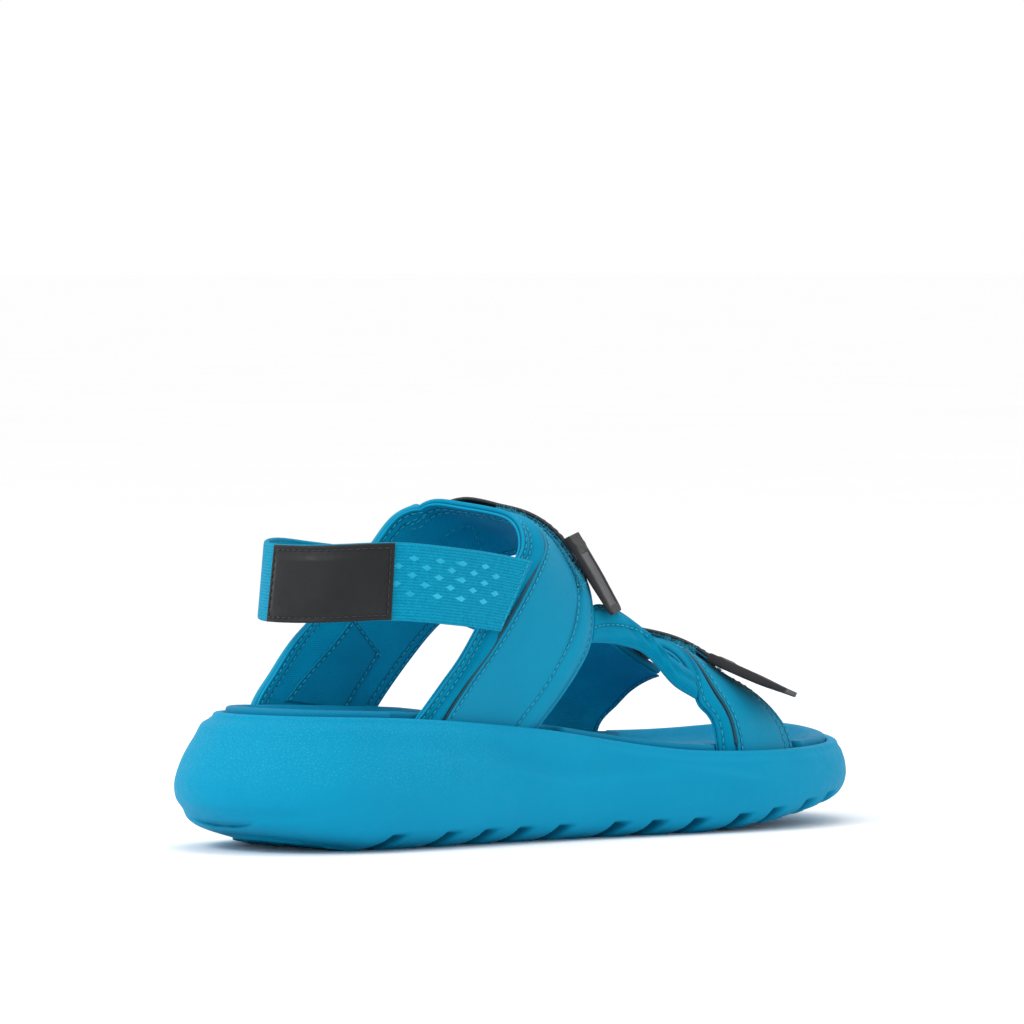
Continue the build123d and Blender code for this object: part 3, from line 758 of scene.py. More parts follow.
def notch(x, z):
    """Recesses of the lower wall: tread grooves, deep behind a slanted edge, and a heel bevel."""
    zb = bottom_height(x)
    up = z - zb
    total = np.zeros_like(x)
    for x0 in TREAD_X[1:]:
        wide = TREAD_WIDTH * 1.15
        s = (x - (x0 - wide + 0.7 * up)) / wide
        inside = step(s, 0.0, 0.06) * (1 - step(s, 0.3, 1.1))
        total = np.maximum(total, inside)
    in0, in1, out0, out1 = HEEL_NOTCH_X
    heel = (1 - step(x, out0, out1)) * step(x, in0, in1) * (1 - step(up, 1.5, 6.0))
    return np.maximum(NOTCH_DEPTH * total * (1 - step(up, 4.8, 6.4)), HEEL_NOTCH_DEPTH * heel)


def groove(x):
    """Depth of the tread grooves across the bottom."""
    total = np.zeros_like(x)
    for x0 in TREAD_X:
        s = (x - (x0 - TREAD_WIDTH)) / TREAD_WIDTH
        total = np.maximum(total, step(s, 0.0, 0.55) * (1 - step(s, 0.9, 1.02)))
    return (TREAD_DEPTH - 0.6) * total


def make_sole():
    p, out = rim_frame(COLUMNS)
    x, y = p.T
    rim = rim_height(x, y)
    zb = bottom_height(x)
    rings = []
    shade = {}     # how deep each ring of the wall lies in a recess, 0 to 1

    def ring(off, z):
        q = p + out * np.asarray(off)[..., None]
        rings.append(np.c_[q, np.broadcast_to(z, len(q))])

    spine = np.c_[np.clip(x * 0.86, -122, 122), np.full(COLUMNS, 2.0)]
    floor = rim_height(x, y) - CAVITY_DEPTH
    inner = p - out * RIM_WIDTH
    for k in (1.0, 0.55, 0.15):
        q = inner * (1 - k) + spine * k
        rings.append(np.c_[q, rim_height(*q.T) - CAVITY_DEPTH])
    ring(-RIM_WIDTH, floor)
    for up in (-6.0, -3.0, -1.4):
        ring(-RIM_WIDTH, rim + up)
    for a in np.radians([0, 25, 50, 75, 90]):
        ring(-RIM_WIDTH + 0.9 * (1 - np.cos(a)), rim - 0.9 + 0.9 * np.sin(a))
    ring(-2.2, rim + 0.06)
    for a in np.radians([90, 70, 50, 30, 12]):
        ring(-1.5 + 1.5 * np.cos(a), rim - 1.5 + 1.5 * np.sin(a))
    top = rim - 1.6
    low = zb + TREAD_TOP + 0.5
    levels = [top + (low - top) * k for k in np.linspace(0.0, 1.0, WALL_RINGS)]
    levels += [zb + up for up in np.linspace(TREAD_TOP, 0.25, TREAD_RINGS)]
    for z in levels:
        q = p + out * wall_offset(x, z, y)[:, None]
        join = step(rim - z, 0.8, 4.0)
        cut = notch(q[:, 0], z)
        # painted shade: the deeper a ring lies in a recess, the darker it is painted
        shade[len(rings)] = step(cut, 0.4, 4.0)
        wall = wall_offset(x, z, y) * join + folds(q[:, 0], z, y) * join - cut
        wall -= 1.2 * np.exp(-(z - zb) / 0.7)
        ring(wall, z)
    foot = rings[-1][:, :2]
    for k in (0.0, 0.03, 0.12, 0.3, 0.55, 0.8, 1.0):
        q = foot * (1 - k) + spine * k
        deep = groove(q[:, 0]) * step(np.full(COLUMNS, k), 0.0, 0.02)
        rings.append(np.c_[q, bottom_height(q[:, 0]) + deep])
    grid = np.stack(rings)
    ids = np.arange(grid.shape[0] * COLUMNS).reshape(-1, COLUMNS)
    faces = quads(np.concatenate([ids, ids[:, :1]], 1))
    verts = grid.reshape(-1, 3)
    # painted shade of the recesses, stored as a per-point mark
    sewn = np.zeros(grid.shape[:2])
    for k, row in shade.items():
        sewn[k] = row
    return make_object("sole", verts, facing_out(verts, faces), [SOLE], verts[:, :2], sewn=sewn)


def tail_share(x, y):
    """1 where a strap's tail passes between the footbed and the rim."""
    share = np.zeros_like(x)
    for x0, x1, side in TAIL_SLOTS:
        here = step(x, x0 - 2.5, x0 + 0.5) * (1 - step(x, x1 - 0.5, x1 + 2.5))
        share = np.maximum(share, here * (y * side > 0))
    return share


BED_POINTS = 900


def make_bed():
    n = BED_POINTS
    p, out = rim_frame(n)
    share = tail_share(*p.T)
    edge = RIM_WIDTH + SLACK + 0.2 + 6.6 * share
    rim = rim_height(*p.T)
    rings = []

    def ring(inset, z):
        rings.append(np.c_[p - out * np.asarray(inset)[..., None], np.broadcast_to(z, n)])

    top = rim + FOOTBED_ABOVE_RIM
    ring(edge + 6, rim - 9.5)
    ring(edge, rim - 9.5)
    ring(edge, rim - 2.0)
    for a in np.radians([0, 30, 60, 90]):
        ring(edge + 1.3 * (1 - np.cos(a)), top - 1.3 + 1.3 * np.sin(a))
    flat = np.maximum(edge + 3.0, 8.5)
    ring(flat, top + 0.1)
    ring(flat + 1.6, top - 0.3)
    ring(flat + 3.6, rim - 0.4)
    ring(flat + 6.0, rim - 1.7)
    spine = np.c_[np.clip(p[:, 0] * 0.8, -112, 116), np.full(n, 2.0)]
    start = p - out * (flat + 9.0)[:, None]
    for k in (0.0, 0.25, 0.5, 0.8, 1.0):
        q = start * (1 - k) + spine * k
        dip = 2.0 + 0.5 * np.sin(q[:, 0] / 30.0) * k + 0.4 * k
        rings.append(np.c_[q, rim_height(*q.T) - dip])
    grid = np.stack(rings)
    ids = np.arange(grid.shape[0] * n).reshape(-1, n)
    faces = quads(np.concatenate([ids, ids[:, :1]], 1))
    verts = grid.reshape(-1, 3)
    return make_object("bed", verts, facing_out(verts, faces), [BED], verts[:, :2])


# ---------------------------------------------------------------- lateral quarter and toe anchor
QUARTER_LINE = [(-70, 0), (-64.6, 0.032), (-54.5, 0.072), (-43.4, 0.115), (-32.3, 0.166),
                (-21.4, 0.223), (-13, 0.28), (-9.5, 0.36), (-9, 0.48), (-11, 0.60), (-16, 0.72)]
ARCH_REAR = [(-33, 0.748)]    # where the lateral and medial quarters meet over the foot
ARCH_LINE = [(-20, 0.748)]
ARCH_FRONT = [(-1, 0.748)]


def shifted(line, by):
    return [(x + by, q) for x, q in line]


def sew_on(body, slot, obj, *nodes):
    """Obj moves with body and stands for the nodes."""
    if nodes:
        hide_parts(*nodes)
    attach(obj, body)


def join_lateral(name, lining, padding, overlay, pipe, sewing):
    """The layers of a lateral piece and its stitches belong to the sandal's body."""
    node = "lateral_" + name
    sew_on("sandal", "lining_textile", lining, node + "_lining")
    sew_on("sandal", "collar_textile", padding, node + "_padding")
    sew_on("sandal", "upper_leather", overlay, node + "_overlay")
    sew_on("sandal", "dark_piping", pipe, node + "_piping")
    sew_on("sandal", "collar_textile", sewing)


PIPING_LIFT = 4.1          # offset of the piping's middle from the foot form
INNER_FACE = -0.02         # offset of the stitches seen from inside


def piping(name, line, samples, keep, radius):
    """Cord on the form along the kept samples of a line."""
    return tube(name, *line_on_form(smooth(line, samples)[keep], PIPING_LIFT), radius, PIPE)


def make_quarter():
    rear = COLLAR_EDGE + ARCH_REAR
    line = QUARTER_LINE + ARCH_LINE
    front = QUARTER_FRONT + ARCH_FRONT
    whole = Panel(rear, front)
    inner_rows = (("front", 3.0), ("rear", 3.2), ("rear", 5.8))
    lining = whole.layer("quarter_lining", *LINING, [INNER], back=inner_rows)
    pad = Panel(rear, shifted(line, 4))
    free = 1 - step(pad.z, 70, 76) * step(-pad.x, 20, 30)
    over = -0.9 * (1 - step(pad.d_rear, 5.5, 7.5)) + 1.3 * ridge(pad.d_front, 7.0, 1.8) * free
    padding = pad.layer("quarter_collar", 1.0, 3.5, [COLLAR], over=over,
                        seams=(("rear", 1.6), ("rear", 4.6)))
    face = Panel(line, front)
    d_front, d_rear = face.d_front, face.d_rear
    bulge = 0.5 * step(d_rear, 0.0, 5.0) * (1 - step(d_front, 8.0, 14.0))
    roll = 0.75 * ridge(d_front, 6.0, 2.4)
    crease = -1.3 * ridge(d_front, 9.2, 0.9) * step(face.z, 62, 80)
    waves = 0.16 * np.sin(face.d_start / 7.0 + d_rear / 9.0)
    overlay = face.layer("quarter_overlay", 3.4, 4.8, [UPPER], over=bulge + roll + crease + waves,
                         seams=(("rear", 1.7), ("front", 2.0), ("front", 10.2)))
    pipe = piping("quarter_piping", shifted(line, -0.4), 240, slice(8, None), 0.55)
    rows = [pad.row("rear", 1.6, 2.55), pad.row("rear", 4.6, 2.6), face.row("rear", 1.7, 4.9),
            face.row("front", 2.0, 4.8), face.row("front", 10.2, 5.0)]
    rows += [inward(whole.row(edge, d, INNER_FACE)) for edge, d in inner_rows]
    sewing = stitches("quarter_stitches", rows, THREAD)
    seams = [[(-9.3, 0.62), (-2.0, 0.66), (6.0, 0.69)], [(-9.3, 0.62), (-12.0, 0.67), (-15.0, 0.72)]]
    inner_sewing = stitches("arch_seam_stitches", [
        inward(line_on_form(smooth(seam, 40), -0.05)) for seam in seams], THREAD)
    join_lateral("quarter", lining, padding, overlay, pipe, sewing)
    sew_on("sandal", "lining_textile", inner_sewing)


ANCHOR_LINE = [(65.5, 0), (64.9, 0.114), (63.6, 0.165), (60.6, 0.21), (59.5, 0.26), (60.5, 0.33),
               (62, 0.41), (63.5, 0.50)]


def make_anchor():
    whole = Panel(ANCHOR_REAR, ANCHOR_FRONT)
    inner_rows = (("front", 3.0), ("rear", 3.0))
    lining = whole.layer("anchor_lining", *LINING, [INNER], back=inner_rows)
    pad = Panel(ANCHOR_REAR, shifted(ANCHOR_LINE, 3))
    padding = pad.layer("anchor_collar", 1.0, 3.4, [COLLAR], over=1.1 * ridge(pad.d_front, 5.6, 1.7),
                        seams=(("rear", 1.3),))
    face = Panel(ANCHOR_LINE, ANCHOR_FRONT)
    overlay = face.layer("anchor_overlay", 3.4, 4.8, [UPPER],
                         over=0.4 * step(face.d_rear, 0, 5) * step(face.d_front, 3, 9),
                         seams=(("rear", 1.6), ("front", 1.8), ("front", 5.4)))
    pipe = piping("anchor_piping", shifted(ANCHOR_LINE, -0.3), 160, slice(14, 120), 0.65)
    rows = [pad.row("rear", 1.3, 3.3), face.row("rear", 1.6, 4.9), face.row("front", 1.8, 4.8),
            face.row("front", 5.4, 4.85)]
    rows += [inward(whole.row(edge, d, INNER_FACE)) for edge, d in inner_rows]
    sewing = stitches("anchor_stitches", rows, THREAD)
    join_lateral("anchor", lining, padding, overlay, pipe, sewing)


# ---------------------------------------------------------------- medial side
SHAPE_REAR = [(-87, 0.962), (-76, 0.93), (-65, 0.90), (-54.9, 0.868)]   # pointed inner panel
SHAPE_FRONT = [(-58.3, 0.967), (-53, 0.945), (-47, 0.921), (-41.7, 0.898)]
MEDIAL_COVER = (1.05, 3.9)
COVER_STITCH = 3.95
SEWN_SIDES = (("front", 1.8), ("front", 5.4), ("rear", 1.8), ("rear", 5.0))
SEWN_ANCHOR = (("front", 1.8), ("rear", 1.8))


def medial_layers(whole, sides, lining_name, cover_name):
    """Lining and cover of a medial piece, sewn together along its sides."""
    lining = whole.layer(lining_name, *LINING, [INNER], back=sides)
    shell = whole.layer(cover_name, *MEDIAL_COVER, [UPPER], seams=sides,
                        over=0.8 * ridge(whole.d_end, 1.6, 1.4))
    return lining, shell


def sides_sewn(whole, sides):
    """Rows of stitches on the outside and the inside of a medial piece."""
    outside = [whole.row(edge, d, COVER_STITCH) for edge, d in sides]
    return outside, [inward(whole.row(edge, d, INNER_FACE)) for edge, d in sides]


def make_medial_quarter():
    whole = Panel(MEDIAL_REAR + [(-28, 0.705)], MEDIAL_FRONT + [(6, 0.705)])
    lining, shell = medial_layers(whole, SEWN_SIDES, "medial_lining", "medial_overlay")
    point = Panel(SHAPE_REAR, SHAPE_FRONT, rim=5)
    edges = ("rear", "front", "end")
    panel = point.layer("medial_panel", -0.7, 0.1, [COLLAR], back=[(edge, 1.4) for edge in edges])
    outside, inside = sides_sewn(whole, SEWN_SIDES)
    rows = inside + outside + [inward(point.row(edge, 1.4, -0.7)) for edge in edges]
    sewing = stitches("medial_stitches", rows, THREAD)
    sew_on("sandal", "lining_textile", lining, "medial_quarter_lining")
    sew_on("sandal", "upper_leather", shell, "medial_quarter_overlay")
    sew_on("sandal", "collar_textile", panel, "medial_quarter_panel")
    sew_on("sandal", "collar_textile", sewing)


def make_medial_anchor():
    whole = Panel(MEDIAL_ANCHOR_REAR, MEDIAL_ANCHOR_FRONT)
    lining, shell = medial_layers(whole, SEWN_ANCHOR, "medial_anchor_lining_piece",
                                  "medial_anchor_cover")
    outside, inside = sides_sewn(whole, SEWN_ANCHOR)
    sewing = stitches("medial_anchor_stitches", outside + inside, THREAD)
    sew_on("sandal", "lining_textile", lining, "medial_anchor_lining")
    sew_on("sandal", "upper_leather", shell, "medial_anchor_overlay")
    sew_on("sandal", "collar_textile", sewing)


# ---------------------------------------------------------------- bridges
def make_bridge(name, low, high, node, twist):
    """Soft padded strip between quarter and anchor, with pull wrinkles and a rolled low edge."""
    strip = Panel(low, high, fine=0.5, coarse=0.8)
    d_low, d_high, s = strip.d_rear, strip.d_front, strip.d_start
    whole = s + strip.d_end
    puff = 1.3 * step(np.minimum(d_low, d_high), 0.5, 4.5)
    pull = 0.45 * np.sin(s * 0.85 + d_low * 0.9) * step(d_high, 0.5, 3.5)
    pull = pull * np.exp(-((s / whole - 0.6) / 0.26) ** 2)
    roll = 0.8 * ridge(d_low, 1.6, 1.3) - 0.5 * ridge(d_low, 4.2, 0.7)
    swing = twist * np.sin(np.pi * s / whole) * (d_low / (d_low + d_high) - 0.5)
    body = strip.layer(name, 0.3, 3.0, [COLLAR], over=puff + pull + roll, under=-0.3 * puff,
                       lift=swing, seams=(("rear", 5.6), ("front", 1.7)))
    rows = [strip.row("rear", 5.6, 4.125, 0.04, 0.62), strip.row("front", 1.7, 3.3, 0.04, 0.9)]
    sewing = stitches(name + "_stitches", rows, THREAD, pitch=2.6, length=1.8)
    sew_on("sandal", "collar_textile", body, node)
    sew_on("sandal", "collar_textile", sewing)


# ---------------------------------------------------------------- hook-and-loop closures
def place(panel, t, off):
    """Point on the middle of a strap at fraction t of its length, off the form by off, in metres."""
    i = int(t * (panel.x.shape[0] - 1))
    j = int(0.5 * (panel.x.shape[1] - 1))
    return tuple(skin(panel.x[i, j], panel.q[i, j], float(off)) * MM)


ROOT_LIFT = 4.3            # offset of a strap where it is sewn to the medial side
STRAP_SEAM = 1.9
FIBRE_LENGTH = 2.4
FIBRE_RADIUS = 0.09


def make_closure(name, rear, front, body, root, loops, hooks_from):
    """Dark strap that folds over the foot, its hook tape and the loop patch beneath it."""
    grip = Panel(root[0] + rear, root[1] + front, fine=0.6, coarse=1.2)
    rise = 1 - step(grip.q, 0.60, 0.76)
    base = ROOT_LIFT + (STRAP[0] - ROOT_LIFT) * rise
    strap = grip.layer(name + "_strap_piece", 0.0, STRAP[1] - STRAP[0], [DARK], lift=base,
                       seams=(("rear", STRAP_SEAM), ("front", STRAP_SEAM)))
    rows = []
    for edge in ("rear", "front"):
        p, n = grip.row(edge, STRAP_SEAM, 0.0)
        rows.append((p + n * (base[:, :1] + 1.28), n))
    sewing = stitches(name + "_strap_stitches", rows, DARK_THREAD, radius=0.16)
    hooks = Panel(rear, front, t0=hooks_from, t1=0.985, fine=0.8, coarse=1.6)
    hook = hooks.layer(name + "_hook_piece", HOOK[0], HOOK[1] + 0.15, [HOOKS])
    patch = Panel(shifted(loops[0], -1.6), loops[1], fine=0.8, coarse=1.6)
    rough = np.random.default_rng(7).normal(0, 0.12, patch.x.shape)
    loop = patch.layer(name + "_loop_piece", 4.85, 5.75, [LOOP], over=rough)
    hairs = []
    for k, (edge, count) in enumerate((("rear", 800), ("end", 200), ("front", 500))):
        p, n = patch.row(edge, 0.3, 5.3)
        out = p - patch.row(edge, 2.3, 5.3)[0]
        out /= np.linalg.norm(out, axis=1)[:, None]
        hairs.append(fuzz(name + "_hair_%d" % k, p, n, out, count, FIBRE_LENGTH, FIBRE, 11 + k,
                          FIBRE_RADIUS))
    hair = joined(name + "_loop_fibres", hairs)
    sew_on("sandal", "hook_loop", loop, name + "_loop_patch")
    sew_on("sandal", "hook_loop", hair)
    sew_on(body, "hook_loop", hook, name + "_hook_strip")
    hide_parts(name + "_strap")
    low = place(grip, 0.16, 4.5)
    high = place(grip, 0.46, 6.0)
    for obj in (strap, sewing):
        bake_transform(obj)


def tab_frame(tab):
    """Corner, the three directions and the size of a pull tab."""
    corner, lead, normal, size = tab
    lx = np.array(lead) / np.linalg.norm(lead)
    nz = np.array(normal) - lx * (np.array(normal) @ lx)
    nz /= np.linalg.norm(nz)
    return np.array(corner, float), lx, np.cross(nz, lx), nz, size


def make_pull_tab(name, tab, body, node, taper, bend, slim=1.0):
    """Moulded rubber grip: a rounded plate with a sunk ribbed panel and a thinner tip.  slim is
    the share of the CAD tab's width and thickness that it is drawn at."""
    corner, lx, wy, nz, (length, width, thick) = tab_frame(tab)
    u = graded(length, 0.5, 0.9, 7)[:, None] * length
    v = graded(width, 0.5, 0.9, 5)[None, :] * width
    grid_u, grid_v = np.broadcast_arrays(u, v)
    side = np.minimum(grid_v, width - grid_v)
    tip = length - grid_u
    corner_cut = np.maximum(0, 3.2 - tip)
    pinch = (1 - np.sqrt(np.maximum(1 - (corner_cut / 3.2) ** 2, 0))) * 3.0
    squeeze = (width / 2 - pinch) / (width / 2)
    gv = width / 2 + (grid_v - width / 2) * squeeze * slim
    d = np.minimum(np.minimum(side, tip), grid_u)
    half = thick / 2 * slim * (1 - taper * step(grid_u, length * 0.45, length))
    g = np.sqrt(np.maximum(1 - (1 - np.clip(d / 1.1, 0, 1)) ** 2, 0))
    shell = 0.62 + 0.38 * g
    shell = np.where(d <= 0, 0, shell)
    sunk = step(side, 3.0, 3.7) * step(tip, 3.0, 3.7) * step(grid_u, 7.5, 8.2)
    ribs = 0.12 * np.sin(grid_v * 2 * math.pi / 1.5) * sunk
    collar = 0.35 * ridge(grid_u, 4.5, 1.1) * step(side, 0.5, 1.5)
    top = -thick / 2 + half * shell - 0.75 * sunk + ribs + collar
    bottom = -thick / 2 - half * shell
    lift = bend * (grid_u / length) ** 2
    base = corner + grid_u[..., None] * lx + gv[..., None] * wy
    outer = base + (top + lift)[..., None] * nz
    inner = base + (bottom + lift)[..., None] * nz
    border = np.zeros_like(d, bool)
    border[[0, -1], :] = True
    border[:, [0, -1]] = True
    mid = base + (lift - thick / 2)[..., None] * nz
    outer[border] = mid[border]
    uv = np.stack(np.broadcast_arrays(grid_u, gv), -1)
    verts, faces, uv = two_sided(outer, inner, (uv, uv))
    top_sunk = (sunk[:-1, :-1] > 0.5).ravel()
    slots = np.concatenate([top_sunk, np.zeros_like(top_sunk)]).astype(int)
    obj = make_object(name + "_tab_piece", verts, faces, [RUBBER, GRIP], uv, slots)
    sew_on(body, "tab_rubber", obj, node)


# ---------------------------------------------------------------- heel band and patch
MEDIAL_TIP_X = -39.5
LATERAL_TURN = 137.0       # band length round the heel that the studs' spacing is worked out from
PATCH_TURN = (-58, 8)      # degrees round the heel from the rear middle
PATCH_LENGTH = 58.0
PATCH_WIDTH = 0.985        # share of the band's width
DIAMOND_LONG = 5.2
DIAMOND_HIGH = 2.7
DIAMOND_RISE = 0.35
DIAMOND_ROWS = [(0.61, -50.0), (0.40, -45.0), (0.18, -50.5), (-0.05, -45.5), (-0.30, -51.0)]
DIAMOND_STEP = 10.5


def lateral_tip(w):
    """X where the band's slanted lateral end is sewn down, at w -1..1 across the band."""
    return -34.25 + 7.75 * w


def band_grid(a, w, off):
    """Point on the heel band: a -1..0 lateral sewn end, 0..1 round the heel, 1..2 medial end."""
    a, w, off = np.broadcast_arrays(*(np.asarray(k, float) for k in (a, w, off)))
    phi = np.radians(-90 + 180 * np.clip(a, 0, 1))
    x = BAND_AXIS[0] - (BAND_AX + off) * np.cos(phi)
    y = (BAND_BY + off) * np.sin(phi)
    x = x + np.clip(-a, 0, 1) * (lateral_tip(w) - BAND_AXIS[0])
    x = x + np.clip(a - 1, 0, 1) * (MEDIAL_TIP_X + 1.5 * w - BAND_AXIS[0])
    z = soft_interp(x, BAND_MID_X, BAND_MID_Z) + BAND_HALF * w
    return np.stack([x + 1.8 * np.cos(phi) * (w + 1) * (np.abs(a - 0.5) <= 0.5), y, z], -1)


def band_shell(name, a, w, lo, hi, materials, over=0.0):
    """Closed sheet on the band's grid between two offsets, with rounded edges."""
    a, w = np.broadcast_arrays(a[:, None], w[None, :])
    p = band_grid(a, w, 0.0)
    up = np.concatenate([np.zeros((1, a.shape[1])),
                         np.cumsum(np.linalg.norm(np.diff(p, axis=0), axis=2), 0)], 0)
    d = np.minimum((1 - np.abs(w)) * BAND_HALF, np.minimum(up, up[-1:] - up))
    d = np.minimum(d, (w.max() - w) * BAND_HALF)
    g = np.sqrt(np.maximum(1 - (1 - np.clip(d / 0.8, 0, 1)) ** 2, 0))
    mid, half = (lo + hi) / 2, (hi - lo) / 2
    outer = band_grid(a, w, mid + half * g + over * np.clip(d, 0, 1))
    inner = band_grid(a, w, mid - half * g)
    uv = np.stack([up, (w + 1) * BAND_HALF], -1)
    verts, faces, uv = two_sided(outer, inner, (uv, uv))
    return make_object(name, verts, faces, materials, uv)


def diamond(a, w, scale):
    """Raised facet of the webbing: four corners and a peak."""
    da = DIAMOND_LONG * scale / 2 / LATERAL_TURN
    dw = DIAMOND_HIGH / 2 / BAND_HALF
    corners = [(a - da, w), (a, w - dw), (a + da, w), (a, w + dw)]
    peak = band_grid(a, w, BAND_THICK + DIAMOND_RISE)
    return [band_grid(*corner, BAND_THICK - 0.1) for corner in corners] + [peak]


def make_heel_band():
    a = np.concatenate([np.linspace(-1, 0, 36)[:-1], np.linspace(0, 1, 150),
                        np.linspace(1, 2, 26)[1:]])
    w = graded(2 * BAND_HALF, 0.5, 0.6, 4) * 2 - 1
    ripple = 0.12 * np.sin(a * 60)[:, None] * (np.abs(w)[None, :] > 0.75)
    band = band_shell("heel_band_webbing", a, w, 0.0, BAND_THICK, [ELASTIC], over=ripple)
    verts, faces = [], []
    for k, (row_w, first) in enumerate(DIAMOND_ROWS):
        for j in range(5 if k % 2 else 4):
            x = first - DIAMOND_STEP * j
            if x > BAND_AXIS[0]:
                tip = lateral_tip(row_w)
                at = -(x - BAND_AXIS[0]) / (tip - BAND_AXIS[0])
                scale = LATERAL_TURN / (tip - BAND_AXIS[0])
            else:
                at = 0.5 - math.degrees(math.acos((BAND_AXIS[0] - x) / BAND_AX)) / 180
                scale = 1.0
            base = len(verts)
            verts.extend(diamond(at, row_w, scale))
            faces.extend((base + i, base + (i + 1) % 4, base + 4) for i in range(4))
    studs = make_object("band_diamonds", verts, faces, [GLOSS])
    studs.data.polygons.foreach_set("use_smooth", np.zeros(len(studs.data.polygons), bool))
    line = band_grid(np.full(30, -0.93), np.linspace(-0.9, 0.9, 30), BAND_THICK + 0.05)
    out = np.tile([0.0, -1.0, 0.0], (30, 1))
    far = band_grid(np.full(30, 1.93), np.linspace(-0.9, 0.9, 30), BAND_THICK + 0.05)
    sewing = stitches("band_stitches", [(line, out), (far, -out)], THREAD)
    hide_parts("heel_band", "heel_band_lateral_end", "heel_band_medial_end")
    for obj in (band, studs):
        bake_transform(obj)
    sew_on("sandal", "elastic_webbing", sewing)


def make_heel_patch():
    a0, a1 = ((turn + 90) / 180 for turn in PATCH_TURN)
    length = PATCH_LENGTH
    a = a0 + (a1 - a0) * graded(length, 0.5, 0.9, 6)
    w = (graded(2 * BAND_HALF, 0.5, 0.9, 6) * 2 - 1) * PATCH_WIDTH
    edge_a = np.minimum(a - a0, a1 - a) / (a1 - a0) * length
    edge_w = (PATCH_WIDTH - np.abs(w)) * BAND_HALF
    d = np.minimum(edge_a[:, None], edge_w[None, :])
    over = 0.7 * step(d, 2.6, 5.5) - 0.3 * ridge(d, 1.7, 0.5)
    patch = band_shell("heel_patch_cover", a, w, BAND_THICK + 0.1, BAND_THICK + 1.5, [PATCH],
                       over=over)
    rows = []
    inset_a = 1.7 / length * (a1 - a0)
    inset_w = PATCH_WIDTH - 1.7 / BAND_HALF
    long_way = np.linspace(a0 + inset_a, a1 - inset_a, 60)
    high_way = np.linspace(-inset_w, inset_w, 30)
    lines = [(long_way, np.full(60, side * inset_w)) for side in (1, -1)]
    lines += [(np.full(30, end), high_way) for end in (a0 + inset_a, a1 - inset_a)]
    for line in lines:
        p = band_grid(*line, BAND_THICK + 1.45)
        n = band_grid(*line, BAND_THICK + 2.45) - p
        rows.append((p, n / np.linalg.norm(n, axis=1)[:, None]))
    sewing = stitches("patch_stitches", rows, DARK_THREAD, pitch=2.6, length=1.8, radius=0.22)
    sew_on("heel_strap", "patch_leather", patch, "heel_patch")
    sew_on("heel_strap", "patch_leather", sewing)


# ---------------------------------------------------------------- studio
VIEW_TURN = math.radians(-43.0)
VIEW_LIFT = math.radians(1.9)
VIEW_DISTANCE = 3.0
VIEW_CENTRE = Vector((0, 0, 0.055))
AIM_UP = 0.0596
AIM_RIGHT = -0.0018
LENS = 295.3
FLOOR_HALF = 30000.0       # millimetres


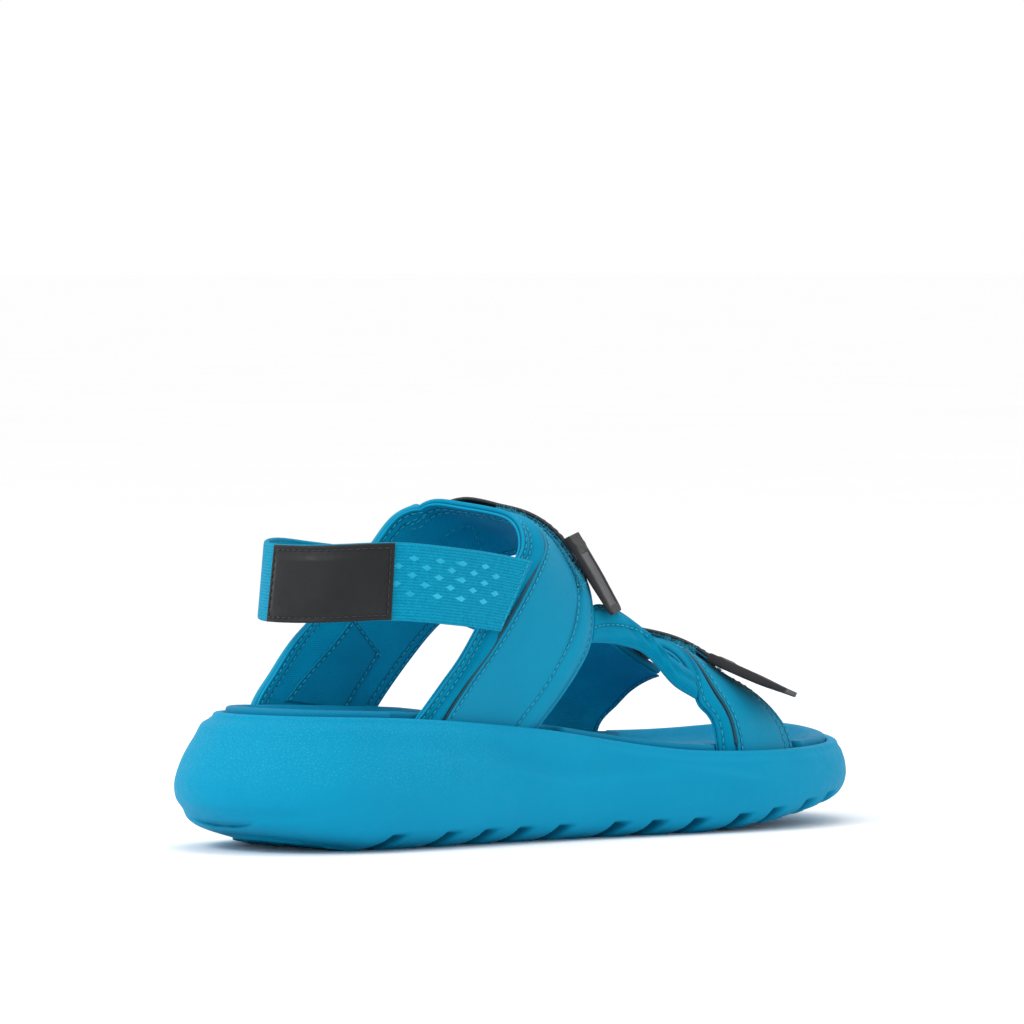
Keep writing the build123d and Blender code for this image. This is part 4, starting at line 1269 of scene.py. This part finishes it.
def make_studio():
    back = Vector((math.sin(VIEW_TURN) * math.cos(VIEW_LIFT),
                   -math.cos(VIEW_TURN) * math.cos(VIEW_LIFT), math.sin(VIEW_LIFT)))
    right = Vector((math.cos(VIEW_TURN), math.sin(VIEW_TURN), 0))
    up = back.cross(right)
    aim = VIEW_CENTRE + up * AIM_UP + right * AIM_RIGHT
    data = bpy.data.cameras.new("camera")
    data.sensor_width = 36.0
    data.lens = LENS
    data.clip_end = 100.0
    camera = bpy.data.objects.new("camera", data)
    bpy.context.scene.collection.objects.link(camera)
    camera.location = aim + back * VIEW_DISTANCE
    camera.rotation_euler = back.to_track_quat("Z", "Y").to_euler()
    bpy.context.scene.camera = camera

    floor_finish = Finish("studio_floor", roughness=0.9, specular=0.05)
    floor_finish.colour(floor_finish.blend(floor_finish.noise(3.0, 2), linear(252, 252, 252),
                                           linear(255, 255, 255)))
    corners = [(sx * FLOOR_HALF, sy * FLOOR_HALF, 0) for sx, sy in ((-1, -1), (1, -1), (1, 1), (-1, 1))]
    floor = make_object("floor", corners, [(0, 1, 2, 3)], [floor_finish.material])

    world = bpy.data.worlds.new("studio")
    world.use_nodes = True
    world.node_tree.nodes["Background"].inputs["Color"].default_value = (1, 1, 1, 1)
    world.node_tree.nodes["Background"].inputs["Strength"].default_value = 1.0
    bpy.context.scene.world = world

    def lamp(name, place, power, size):
        light = bpy.data.lights.new(name, "AREA")
        light.energy = power
        light.size = size
        obj = bpy.data.objects.new(name, light)
        bpy.context.scene.collection.objects.link(obj)
        obj.location = place
        obj.rotation_euler = (Vector(place) - VIEW_CENTRE).to_track_quat("Z", "Y").to_euler()

    lamp("key", VIEW_CENTRE + back * 0.9 - right * 1.1 + up * 1.2, 10.0, 0.6)
    lamp("top", VIEW_CENTRE + Vector((0, 0, 1.5)) - back * 0.2, 5.0, 1.0)
    bpy.context.scene.view_settings.view_transform = "Standard"


sole = make_sole()
bed = make_bed()
sew_on("sandal", "sole_foam", sole, "midsole")
sew_on("sandal", "footbed_foam", bed, "footbed")
make_quarter()
make_anchor()
make_medial_quarter()
make_medial_anchor()
make_bridge("outer_bridge", BRIDGE_LOW, BRIDGE_HIGH, "lateral_bridge", 2.5)
make_bridge("inner_bridge", [(x, q + 0.012) for x, q in MEDIAL_BRIDGE_LOW], MEDIAL_BRIDGE_HIGH,
            "medial_bridge", -1.5)
make_closure("instep", INSTEP_STRAP_REAR, INSTEP_STRAP_FRONT, "instep_closure",
             ([(-44, 0.86)], [(-24, 0.86)]), (INSTEP_LOOP_REAR, INSTEP_LOOP_FRONT), 0.5)
make_closure("toe", TOE_STRAP_REAR, TOE_STRAP_FRONT, "toe_closure",
             ([(48, 0.87)], [(76, 0.87)]), (TOE_LOOP_REAR, TOE_LOOP_FRONT), 0.5)
make_pull_tab("instep", INSTEP_TAB, "instep_closure", "instep_pull_tab", 0.45, 0.0, 0.72)
make_pull_tab("toe", TOE_TAB, "toe_closure", "toe_pull_tab", 0.45, 1.0)
make_heel_band()
make_heel_patch()
make_studio()
